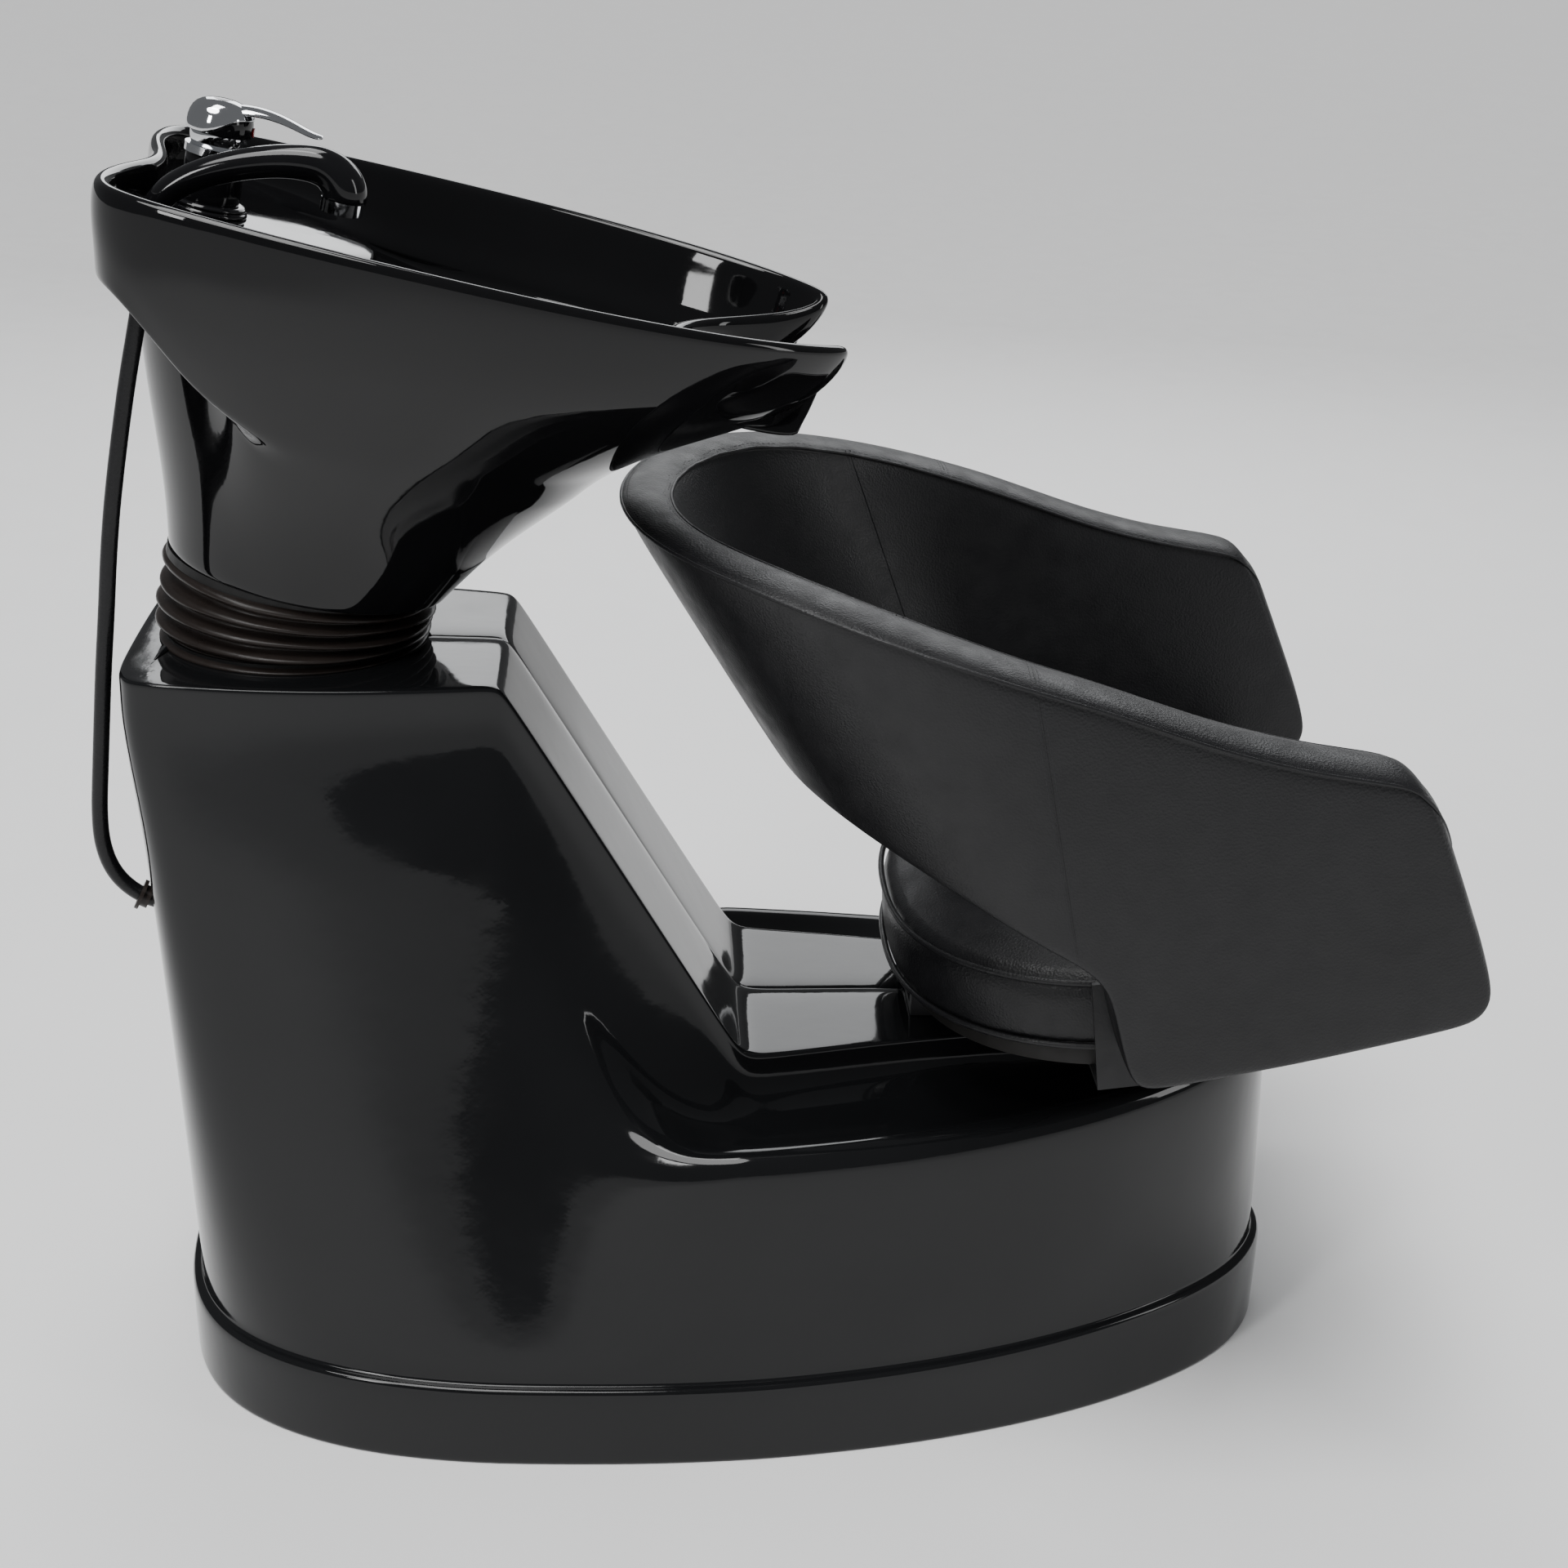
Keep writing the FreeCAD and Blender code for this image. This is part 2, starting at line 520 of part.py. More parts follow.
def mixer():
    """Single-lever mixer: flange, body, collar, ball cover, cartridge and back nut."""
    deck = "sizes.deck_height"
    spot = TILT.multiply(move(val("mixer_x")))
    flange = [("sizes.mixer_radius - 1", deck), (30, deck), (30, deck + " + 4"), (28, deck + " + 5"),
              (28, deck + " + 8"), ("sizes.mixer_radius - 1", deck + " + 8")]
    keep("mixer_flange", turned("mixer_flange", flange), spot)
    shank = "sizes.mixer_radius - 7"
    body = [(0, deck + " - 38"), (shank, deck + " - 38"), (shank, deck), ("sizes.mixer_radius - 1.1", deck),
            ("sizes.mixer_radius - 1.1", deck + " + 8.2"), ("sizes.mixer_radius", deck + " + 8.2"),
            ("sizes.mixer_radius - 1", deck + " + sizes.mixer_height - 6"), (17, deck + " + sizes.mixer_height - 6"),
            (17, deck + " + 16"), (0, deck + " + 16")]
    keep("mixer_body", turned("mixer_body", body), spot)
    nut = [(shank + " + 0.1", deck + " - sizes.deck_thickness - 9"), (28, deck + " - sizes.deck_thickness - 9"),
           (28, deck + " - sizes.deck_thickness"), (shank + " + 0.1", deck + " - sizes.deck_thickness")]
    keep("mixer_nut", turned("mixer_nut", nut), spot)
    top = deck + " + sizes.mixer_height"
    collar = [(16, top + " - 6"), ("sizes.mixer_radius + 0.8", top + " - 6"), ("sizes.mixer_radius + 0.8", top),
              (16, top)]
    keep("mixer_collar", turned("mixer_collar", collar), spot)
    keep("mixer_cartridge", turned("mixer_cartridge", [(0, deck + " + 16"), (15.5, deck + " + 16"),
                                                       (15.5, top), (0, top)]), spot)
    pivot_z = val(top) + 9
    ball = Part.makeSphere(val("ball_radius"), V(0, 0, pivot_z))
    ball = ball.cut(Part.makeSphere(val("ball_radius") - 3, V(0, 0, pivot_z)))
    ball = ball.common(Part.makeBox(80, 80, 60, V(-40, -40, val(top))))
    ball = ball.cut(Part.makeCylinder(13.5, 60, V(0, 0, pivot_z)))
    solid("mixer_ball_cover", ball, spot)
    # slotted spindle turns in the cartridge; the handle's tang rocks on its cross pin
    pin = val("lever_pin_radius")
    spindle = Part.makeCylinder(9, pivot_z + 4 - val(top) - 0.5, V(0, 0, val(top) + 0.5))
    spindle = spindle.cut(Part.makeBox(30, 6.6, 30, V(-15, -3.3, pivot_z - 6)))
    spindle = spindle.fuse(Part.makeCylinder(pin, 16, V(0, -8, pivot_z), V(0, 1, 0)))
    solid("mixer_spindle", spindle, spot)
    # handle: domed cap over the ball with a curved blade reaching forward
    outer = val("handle_radius")
    reach = val("lever_reach")
    cap = Part.makeCylinder(outer, 12.5, V(0, 0, pivot_z + 1.5)).fuse(
        Part.makeSphere(outer, V(0, 0, pivot_z + 1)).common(Part.makeBox(80, 80, 60, V(-40, -40, pivot_z + 2))))
    blade = [(0, pivot_z + 18), (18, pivot_z + 21.5), (40, pivot_z + 21.5), (reach, pivot_z + 16),
             (reach, pivot_z + 19.5), (42, pivot_z + 26), (16, pivot_z + 27), (-4, pivot_z + 25)]
    handle = cap.fuse(prism(blade, -11, 11))
    handle = handle.cut(Part.makeSphere(val("ball_radius") + 0.9, V(0, 0, pivot_z)))
    tang = Part.makeBox(8, 6, 23.5, V(-4, -3, pivot_z)).fuse(Part.makeCylinder(4, 6, V(0, -3, pivot_z), V(0, 1, 0)))
    tang = tang.cut(Part.makeCylinder(pin + val("running_gap"), 30, V(0, -15, pivot_z), V(0, 1, 0)))
    handle = handle.fuse(tang)
    solid("mixer_handle", largest(handle), spot)
    disc = Part.makeCylinder(3.6, 1.6, V(outer - 0.9, 0, pivot_z + 7), V(1, 0, 0))
    disc = disc.cut(cap)
    disc.rotate(V(0, 0, 0), V(0, 0, 1), -38)
    solid("mixer_indicator", largest(disc), spot)
    return pivot_z


# ---------------------------------------------------------------- hand shower

def hand_shower():
    """Lift-out shower: deck holder and nut, curved handle, chromed spray collar and face."""
    deck = val("deck_height")
    spot = TILT.multiply(move(val("holder_x"), val("holder_y")))
    bore, small = val("holder_bore"), val("handle_bore")
    holder = [("sizes.handle_bore", "sizes.deck_height - 24"), (12, "sizes.deck_height - 24"),
              (12, "sizes.deck_height"), (18, "sizes.deck_height"), (16, "sizes.deck_height + 10"),
              ("sizes.holder_bore", "sizes.deck_height + 10"), ("sizes.holder_bore", "sizes.deck_height + 2"),
              ("sizes.handle_bore", "sizes.deck_height + 2")]
    keep("handset_holder", turned("handset_holder", holder), spot)
    nut = [(12.1, "sizes.deck_height - sizes.deck_thickness - 8"), (19, "sizes.deck_height - sizes.deck_thickness - 8"),
           (19, "sizes.deck_height - sizes.deck_thickness"), (12.1, "sizes.deck_height - sizes.deck_thickness")]
    keep("holder_nut", turned("holder_nut", nut), spot)
    # handle through round sections, each given by reach, rise, slope in degrees and radius
    start = deck + 10.4
    stations = ((0, 0, 90, 10.5), (5, 12, 66, 11), (19, 26, 40, 12), (47, 41, 26, 13), (83, 53, 14, 14),
                (116, 58, 4, 14.5), (126, 58, 0, 14.5))
    sections = []
    for reach, rise, slope, size in stations:
        heading = V(math.cos(math.radians(slope)), 0, math.sin(math.radians(slope)))
        edge = Part.Circle(V(reach, 0, start + rise), heading, size)
        edge.XAxis = V(0, 1, 0)
        sections.append(Part.Wire([edge.toShape()]))
    handle = loft(sections, False)
    head_x = stations[-1][0] + 4
    head_z = start + stations[-1][1]
    lower, side, crown = V(0, 0, -20), V(18, 0, -20), V(0, 0, 18.6)
    shoulder = V(18.3, 0, 0)
    profile = Part.Wire([Part.makeLine(lower, side), Part.makeLine(side, shoulder),
                         Part.Arc(shoulder, V(12.9, 0, 13.1), crown).toShape(), Part.makeLine(crown, lower)])
    head = Part.Face(profile).revolve(V(0, 0, 0), V(0, 0, 1), 360)
    head.translate(V(head_x, 0, head_z))
    plug = Part.makeCylinder(bore - 0.2, 8, V(0, 0, deck + 2.4)).fuse(Part.makeCylinder(9.8, 6, V(0, 0, deck + 10.2)))
    body = handle.fuse([head, plug])
    spray_low = head_z - 20
    body = body.cut(Part.makeCylinder(val("spray_radius") - 3, 8, V(head_x, 0, spray_low - 0.1)))
    solid("handset_body", largest(body), spot)
    ring = Part.makeCylinder(val("spray_radius"), 9, V(head_x, 0, spray_low - 9))
    ring = ring.fuse(Part.makeCylinder(val("spray_radius") - 3.1, 6, V(head_x, 0, spray_low)))
    ring = ring.cut(Part.makeCylinder(val("spray_radius") - 3, 7, V(head_x, 0, spray_low - 9)))
    solid("spray_collar", ring, spot)
    face = Part.makeCylinder(val("spray_radius") - 3.1, 4, V(head_x, 0, spray_low - 8))
    for ring_radius, count in ((4, 6), (8.5, 12)):
        for i in range(count):
            turn = 2 * math.pi * i / count
            face = face.cut(Part.makeCylinder(0.9, 20, V(head_x + ring_radius * math.cos(turn),
                                                         ring_radius * math.sin(turn), spray_low - 15)))
    solid("spray_face", face, spot)
    # end of the hose that is fixed to the handset and slides inside the hanging hose
    stub = Part.makeCylinder(small - 0.9, 98, V(0, 0, deck + 2.2 - 98))
    solid("hose_stub", stub, spot)


def hose_points():
    """Route of the shower hose, from under the deck down behind the column and in at its rear."""
    top = in_bowl(val("holder_x"), val("holder_y"), val("deck_height") - 24)
    below = in_bowl(val("holder_x"), val("holder_y"), val("deck_height") - 73)
    lower = in_bowl(val("holder_x") - 1, val("holder_y") + 1, val("deck_height") - 124)
    free = [(-500, -92, 762), (-507, -90, 712), (-512, -88, 662), (-517.5, -86, 614), (-522, -84, 567),
            (-526, -82, 524), (-529, -80.5, 492), (-529, -79, 462), (-522, -77.5, 437), (-507, -76, 419),
            (-486, -75.3, 409), (-462, -75, 405)]
    return [tuple(top), tuple(below), tuple(lower)] + free


def hose_entry():
    """Where the hose passes through the column's rear wall, and its direction there."""
    before, after = V(*hose_points()[-3]), V(*hose_points()[-2])
    heading = after.sub(before)
    heading.normalize()
    return before.add(after).multiply(0.5), heading


def shower_hose():
    points = hose_points()
    shape, length, radii, section = tube(points, val("hose_radius"), val("hose_bore"))
    print("shower hose: length %.0f, volume/(section*length) %.4f, radii %s"
          % (length, shape.Volume / (section * length), [round(r) for r in radii]))
    solid("shower_hose", shape)
    spot, heading = hose_entry()
    ring = Part.makeCylinder(12.5, 3, spot.sub(V(heading).multiply(6)), heading)
    ring = ring.fuse(Part.makeCylinder(val("hose_radius") + 2.6, 9, spot.sub(V(heading).multiply(6)), heading))
    ring = ring.cut(Part.makeCylinder(val("hose_radius") + 1, 60, spot.sub(V(heading).multiply(30)), heading))
    solid("hose_grommet", ring)


def services():
    """Waste hose and the two supply hoses inside the column, and their stop valves."""
    px = val("pivot_x")
    end = in_bowl(0, 0, -6.3)
    below = in_bowl(0, 0, -50)
    points = [tuple(end), tuple(below), (px - 9, 0, 545), (px + 4, 0, 470), (px + 30, 0, 380), (px + 50, 0, 280),
              (px + 58, 0, 180), (px + 60, 0, 60)]
    shape, length, radii, section = tube(points, val("drain_pipe_radius") - 1, 15)
    print("waste hose: length %.0f, volume ratio %.4f, radii %s"
          % (length, shape.Volume / (section * length), [round(r) for r in radii]))
    solid("waste_hose", shape)
    for name, side in (("supply_hose_hot", 1), ("supply_hose_cold", -1)):
        shank = in_bowl(val("mixer_x"), side * 7, val("deck_height") - 40.5)
        mouth = in_bowl(-72, side * 8, 40)
        neck = in_bowl(-79, side * 9, 0)
        points = [tuple(shank), tuple(in_bowl(-110, side * 7, 190)), tuple(in_bowl(-92, side * 8, 120)), tuple(mouth),
                  tuple(neck), (px - 77, side * 11, 585), (px - 60, side * 24, 500), (px - 52, side * 42, 410),
                  (px - 50, side * 50, 310), (px - 50, side * 52, 200), (px - 50, side * 52, 60)]
        shape, length, radii, section = tube(points, val("supply_radius"))
        print("%s: length %.0f, volume ratio %.4f" % (name, length, shape.Volume / (section * length)))
        solid(name, shape)


# ---------------------------------------------------------------- chair

def bucket(inset_side, inset_back, low=300, high=800):
    """Solid filling the chair's raked bucket, set in from its outer skin."""
    top_z = val("chair_height")
    wires = []
    for z in (low, high):
        drop = top_z - z
        rear = val("chair_rear_x") + val("back_rake") * drop + inset_back
        half = val("chair_half_width") - val("arm_taper") * drop - inset_side
        straight = 183.5 + 0.2 * drop
        points = []
        count = 24
        for i in range(count + 1):
            turn = math.pi * (0.5 + i / count)
            points.append(V(straight + (straight - rear) * math.cos(turn), half * math.sin(turn), z))
        curve = Part.BSplineCurve()
        curve.interpolate(points)
        left, right = V(900, half, z), V(900, -half, z)
        wires.append(Part.Wire([curve.toShape(), Part.makeLine(points[-1], right), Part.makeLine(right, left),
                                Part.makeLine(left, points[0])]))
    return loft(wires)


def side_view(inset):
    """Outline of the back and arms seen from the side, its top and front edges set in."""
    top, front_top = val("chair_height") - inset, val("arm_front_height") - inset
    shift = inset * 1.1
    return [(-200, top), (-76, top), (460.5 - shift, front_top), (536 - shift, 462), (535 - shift, 441),
            (268, 366), (254, 421), (229.5, 472), (152.5, 506), (86.5, 530), (40, 551), (-200, 551)]


def chair_shell():
    """Layers of the back and arms from outside in, closed by the padded trim round the edge."""
    gap = val("layer_gap")
    cover, core = val("cover_thickness"), val("core_thickness")
    inner_skin = bucket(val("arm_thickness"), val("back_thickness"))
    body_view = prism(side_view(val("trim_height") + gap), -500, 500)
    full_view = prism(side_view(0), -500, 500)
    outer_skin = bucket(0, 0)
    core_out, core_in = cover + gap, cover + gap + core
    outer_cover = outer_skin.cut(bucket(cover, cover)).common(body_view)
    core_shell = bucket(core_out, core_out).cut(bucket(core_in, core_in)).common(body_view)
    pad = bucket(core_in + gap, core_in + gap).cut(inner_skin).common(body_view)
    trim = outer_skin.cut(inner_skin).common(full_view).cut(prism(side_view(val("trim_height")), -500, 500))
    holes = []
    bolts = []
    brackets = []
    leg_out = bolt_face_y() - gap
    for sign in (-1, 1):
        for x in (280, 318):
            z = 408
            reach = 52
            start = V(x, sign * (leg_out - 4 - 3), z)
            holes.append(Part.makeCylinder(4.2, reach + 12, start, V(0, sign, 0)))
            shank = Part.makeCylinder(4, reach, start, V(0, sign, 0))
            head = Part.makeCylinder(7.5, 3, start, V(0, sign, 0))
            bolts.append(shank.fuse(head))
        leg = Part.makeBox(75, 4, 92, V(262, leg_out - 4 if sign > 0 else -leg_out, val("seat_board_z") - 4.2))
        arm = Part.makeBox(75, leg_out - 150, 4, V(262, 150 if sign > 0 else -leg_out, val("seat_board_z") - 4.2))
        brackets.append(seat_tilted(leg.fuse(arm)))
    for hole in holes:
        core_shell = core_shell.cut(hole)
        pad = pad.cut(hole)
        brackets = [b.cut(hole) for b in brackets]
    solid("chair_outer_cover", largest(outer_cover))
    solid("chair_core", largest(core_shell))
    solid("chair_inner_pad", largest(pad))
    solid("chair_edge_trim", largest(trim))
    solid("arm_brackets", Part.makeCompound(brackets))
    solid("arm_bolts", Part.makeCompound(bolts))


def bolt_face_y():
    """Half-width of the pad's inner face near the arm bolts."""
    return val("chair_half_width") - val("arm_taper") * (val("chair_height") - 366) - val("arm_thickness")


def seat_tilted(shape):
    """Turn a seat piece front up about the board's rear lower edge."""
    shape = shape.copy()
    shape.rotate(V(val("seat_rear_x"), 0, val("seat_board_z")), V(0, 1, 0), -val("seat_tilt"))
    return shape


def seat_block(inset, low, thickness):
    rear, front = val("seat_rear_x") + inset, val("seat_front_x") - inset
    half = val("seat_half_width") - inset
    wire = egg(rear, front, 345, half, low, 2.35, 7.0, 40)
    return Part.Face(wire).extrude(V(0, 0, thickness))


def seat():
    """Cushion on its plywood board, carried by a steel spacer bolted to the platform."""
    board = val("seat_board_z")
    thick = val("board_thickness")
    solid("seat_cushion", seat_tilted(seat_block(0, board + thick + 0.3, val("cushion_thickness"))))
    panel = seat_tilted(seat_block(14, board, thick))
    top = val("platform_height")
    # spacer: plate on the platform, two rails up to the board
    height = board - top + 80
    frame = Part.makeBox(210, 110, 6, V(136, -55, top)).fuse(
        [Part.makeBox(210, 12, height, V(136, 43, top)), Part.makeBox(210, 12, height, V(136, -55, top)),
         Part.makeBox(12, 110, height, V(146, -55, top)), Part.makeBox(12, 110, height, V(316, -55, top))])
    frame = frame.cut(seat_tilted(Part.makeBox(600, 300, 200, V(0, -150, board - 0.2))))
    bolts = []
    for x in (180, 290):
        for y in (-30, 30):
            hole = Part.makeCylinder(4.2, 60, V(x, y, top - 20))
            frame = frame.cut(hole)
            shank = Part.makeCylinder(4, 6, V(x, y, top))
            head = Part.makeCylinder(7, 5, V(x, y, top + 6))
            bolts.append(shank.fuse(head))
    solid("seat_board", panel)
    solid("seat_spacer", frame)
    solid("seat_bolts", Part.makeCompound(bolts))


base_shells()
steel_frame()
lower_bracket()
upper_bracket()
pivot_hardware()
bellows()
bowl()
waste()
mixer()
hand_shower()
shower_hose()
services()
chair_shell()
seat()

doc.recompute()
for obj in doc.Objects:
    if "Invalid" in obj.State or "Error" in obj.State:
        raise SystemExit("failed object: %s %s" % (obj.Label, obj.State))
for name, obj in nodes.items():
    if obj.Shape.isNull() or not obj.Shape.isValid() or obj.Shape.Volume <= 0:
        raise SystemExit("bad shape: %s" % name)

os.makedirs("parts", exist_ok=True)
for name, obj in nodes.items():
    obj.Shape.exportStep("parts/%s.step" % name)
print("%d nodes written" % len(nodes))
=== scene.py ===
import bpy
import json
import math
import numpy as np
from mathutils import Matrix, Vector


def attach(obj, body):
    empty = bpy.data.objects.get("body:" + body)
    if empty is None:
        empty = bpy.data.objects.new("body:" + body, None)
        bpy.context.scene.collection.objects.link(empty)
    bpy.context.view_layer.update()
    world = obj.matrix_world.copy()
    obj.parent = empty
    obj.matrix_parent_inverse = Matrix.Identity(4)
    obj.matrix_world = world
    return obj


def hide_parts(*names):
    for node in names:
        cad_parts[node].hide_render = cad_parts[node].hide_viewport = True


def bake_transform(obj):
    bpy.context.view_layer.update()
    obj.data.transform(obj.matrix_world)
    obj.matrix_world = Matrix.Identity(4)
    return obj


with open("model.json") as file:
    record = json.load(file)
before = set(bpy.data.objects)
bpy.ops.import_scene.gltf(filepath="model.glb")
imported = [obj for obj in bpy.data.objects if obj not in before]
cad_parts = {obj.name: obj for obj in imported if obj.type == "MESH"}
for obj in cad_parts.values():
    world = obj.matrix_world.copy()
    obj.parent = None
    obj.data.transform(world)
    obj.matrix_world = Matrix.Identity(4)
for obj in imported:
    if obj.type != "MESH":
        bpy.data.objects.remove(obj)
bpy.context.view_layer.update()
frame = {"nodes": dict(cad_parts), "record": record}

# ------------------------------------------------------------------ moulded base
# Two glass-fibre half shells in black gelcoat, laid up in a mould and joined down
# the middle. They stand on the floor and hide the steel frame and the plumbing.


def ramp(value, low, high):
    """Smooth step: 0 at low, 1 at high, 3t^2 - 2t^3 between."""
    t = np.clip((np.asarray(value, float) - low) / (high - low), 0, 1)
    return t * t * (3 - 2 * t)


def mirrored(half):
    """Closed loop from a half outline that runs from y = 0 to y = 0 on the +Y side."""
    half = np.asarray(half, float)
    other = half[-2:0:-1].copy()
    other[:, 1] *= -1
    return np.vstack([half, other])


def skin(name, rows, around=True, first="open", last="open", flip=False):
    """Quads between successive rows of points. around closes each row on itself.
    An end is left "open", closed to its mean point with "pole", or closed with one "face";
    "zip" joins a mirrored loop to itself along y = 0."""
    rows = [np.asarray(r, float) for r in rows]
    n = len(rows[0])
    points = [tuple(p) for r in rows for p in r]
    faces = []
    wrap = n if around else n - 1
    for i in range(len(rows) - 1):
        for k in range(wrap):
            j = (k + 1) % n
            faces.append((i * n + k, i * n + j, (i + 1) * n + j, (i + 1) * n + k))
    for end, row, turn in ((first, 0, True), (last, len(rows) - 1, False)):
        ring = [row * n + k for k in range(n)]
        if end == "pole":
            points.append(tuple(rows[row].mean(0)))
            hub = len(points) - 1
            for k in range(n):
                j = (k + 1) % n
                faces.append((ring[j], ring[k], hub) if turn else (ring[k], ring[j], hub))
        elif end == "face":
            faces.append(tuple(reversed(ring)) if turn else tuple(ring))
        elif end == "zip":
            for k in range(1, n // 2):
                quad = (ring[k - 1], ring[k], ring[n - k], ring[(n - k + 1) % n])
                quad = tuple(dict.fromkeys(quad))
                faces.append(tuple(reversed(quad)) if turn else quad)
            tail = (ring[n // 2 - 1], ring[n // 2], ring[n // 2 + 1])
            faces.append(tuple(reversed(tail)) if turn else tail)
    if flip:
        faces = [tuple(reversed(f)) for f in faces]
    mesh = bpy.data.meshes.new(name)
    mesh.from_pydata(points, [], faces)
    mesh.update()
    for polygon in mesh.polygons:
        polygon.use_smooth = True
    obj = bpy.data.objects.new(name, mesh)
    bpy.context.scene.collection.objects.link(obj)
    return obj


def smooth(obj, levels=2):
    """Catmull-Clark subdivision, the same in the view and the render."""
    mod = obj.modifiers.new("smooth", "SUBSURF")
    mod.levels = levels
    mod.render_levels = levels
    return obj


def finish_of(name, colour, rough=(0.1, 0.2), metal=0.0, coat=0.0, grain=(60.0, 0.0, 0.0), spots=8.0,
              shade=0.75, weave="noise", shine=0.27):
    """Procedural finish on object coordinates: colour mottled by slow noise, roughness
    varied between two values, and a grain of (scale, strength, distance) as bump."""
    mat = bpy.data.materials.new(name)
    mat.use_nodes = True
    tree = mat.node_tree
    bsdf = tree.nodes["Principled BSDF"]
    coords = tree.nodes.new("ShaderNodeTexCoord")
    slow = tree.nodes.new("ShaderNodeTexNoise")
    slow.inputs["Scale"].default_value = spots
    slow.inputs["Detail"].default_value = 6.0
    tree.links.new(coords.outputs["Object"], slow.inputs["Vector"])
    mix = tree.nodes.new("ShaderNodeValToRGB")
    mix.color_ramp.elements[0].position = 0.35
    mix.color_ramp.elements[1].position = 0.68
    mix.color_ramp.elements[0].color = (*[c * shade for c in colour], 1)
    mix.color_ramp.elements[1].color = (*colour, 1)
    tree.links.new(slow.outputs["Fac"], mix.inputs["Fac"])
    tree.links.new(mix.outputs["Color"], bsdf.inputs["Base Color"])
    fine = tree.nodes.new("ShaderNodeTexNoise")
    fine.inputs["Scale"].default_value = spots * 5
    fine.inputs["Detail"].default_value = 8.0
    tree.links.new(coords.outputs["Object"], fine.inputs["Vector"])
    span = tree.nodes.new("ShaderNodeMapRange")
    span.inputs["From Min"].default_value = 0.3
    span.inputs["From Max"].default_value = 0.7
    span.inputs["To Min"].default_value = rough[0]
    span.inputs["To Max"].default_value = rough[1]
    tree.links.new(fine.outputs["Fac"], span.inputs["Value"])
    tree.links.new(span.outputs["Result"], bsdf.inputs["Roughness"])
    bsdf.inputs["Metallic"].default_value = metal
    bsdf.inputs["Specular IOR Level"].default_value = 0.5 if metal else shine
    bsdf.inputs["Coat Weight"].default_value = coat
    bsdf.inputs["Coat Roughness"].default_value = 0.03
    scale, strength, distance = grain
    if strength:
        if weave == "cells":
            relief = tree.nodes.new("ShaderNodeTexVoronoi")
            relief.feature = "F1"
            out = relief.outputs["Distance"]
        else:
            relief = tree.nodes.new("ShaderNodeTexNoise")
            relief.inputs["Detail"].default_value = 4.0
            out = relief.outputs["Fac"]
        relief.inputs["Scale"].default_value = scale
        tree.links.new(coords.outputs["Object"], relief.inputs["Vector"])
        bump = tree.nodes.new("ShaderNodeBump")
        bump.inputs["Strength"].default_value = strength
        bump.inputs["Distance"].default_value = distance
        tree.links.new(out, bump.inputs["Height"])
        tree.links.new(bump.outputs["Normal"], bsdf.inputs["Normal"])
    return mat


def dress(obj, mat, body):
    """Give a new piece its material, and fix it to a body."""
    obj.data.materials.clear()
    obj.data.materials.append(mat)
    if body:
        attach(obj, body)
    return obj


def egg_point(angle, rear, front, widest, half, rear_power, front_power):
    """Superellipse plan point; angle 0 is the rear, pi the front."""
    c, s = np.cos(angle), np.sin(angle)
    power = np.where(c > 0, rear_power, front_power)
    reach = np.where(c > 0, widest - rear, front - widest)
    x = widest - np.sign(c) * np.abs(c) ** (2 / power) * reach
    return np.stack([x, half * np.abs(s) ** (2 / power)], -1)


# stations round the half plan: angle on the hull, and the crisp upper edge at each
EDGE = [
    (0, -0.5065, 0.000, 0.618), (9, -0.5063, 0.040, 0.618), (19, -0.5055, 0.082, 0.618), (27, -0.5030, 0.108, 0.618),
    (33, -0.4960, 0.123, 0.618), (38, -0.4840, 0.1305, 0.618), (44, -0.4600, 0.1355, 0.618),
    (52, -0.4250, 0.1395, 0.618),
    (60, -0.3850, 0.1415, 0.618), (67, -0.3350, 0.1400, 0.618), (73, -0.2850, 0.1345, 0.618),
    (78, -0.2350, 0.1255, 0.618),
    (80.5, -0.2160, 0.1220, 0.618), (82, -0.2095, 0.1205, 0.6155), (83.5, -0.2020, 0.1200, 0.606),
    (87, -0.1650, 0.1200, 0.5475), (92, -0.1150, 0.1210, 0.4680), (97, -0.0650, 0.1230, 0.3885),
    (101, -0.0280, 0.1250, 0.3300),
    (102.5, -0.0140, 0.1255, 0.3085), (104, -0.0040, 0.1250, 0.3020), (106, 0.0100, 0.1230, 0.3010),
    (112, 0.0600, 0.1130, 0.3025),
    (119, 0.1200, 0.1000, 0.3040), (128, 0.2000, 0.0850, 0.3045), (138, 0.2900, 0.0720, 0.3045),
    (148, 0.3700, 0.0640, 0.3045),
    (155, 0.4100, 0.0600, 0.3045), (161, 0.4250, 0.0520, 0.3045), (170, 0.4300, 0.0280, 0.3045),
    (180, 0.4305, 0.0000, 0.3045),
]
EDGE = np.array(EDGE, float)
hull_angle = np.radians(EDGE[:, 0])
edge = EDGE[:, 1:]
scooped = ramp(edge[:, 0], -0.200, -0.020)
front_share = ramp(hull_angle, math.radians(95), math.radians(160))


def hull(z, inset):
    """Outline of the lower hull at height z, set in from the foot, leaning back at the rear."""
    z = np.broadcast_to(z, hull_angle.shape)
    plan = egg_point(hull_angle, -0.4785 + inset, 0.4785 - inset, -0.1265, 0.267 - inset, 2.8, 1.95)
    lean = 0.028 * z / 0.618 * (1 - ramp(plan[:, 0], -0.46, -0.30))
    return np.column_stack([plan[:, 0] - lean, plan[:, 1], z])


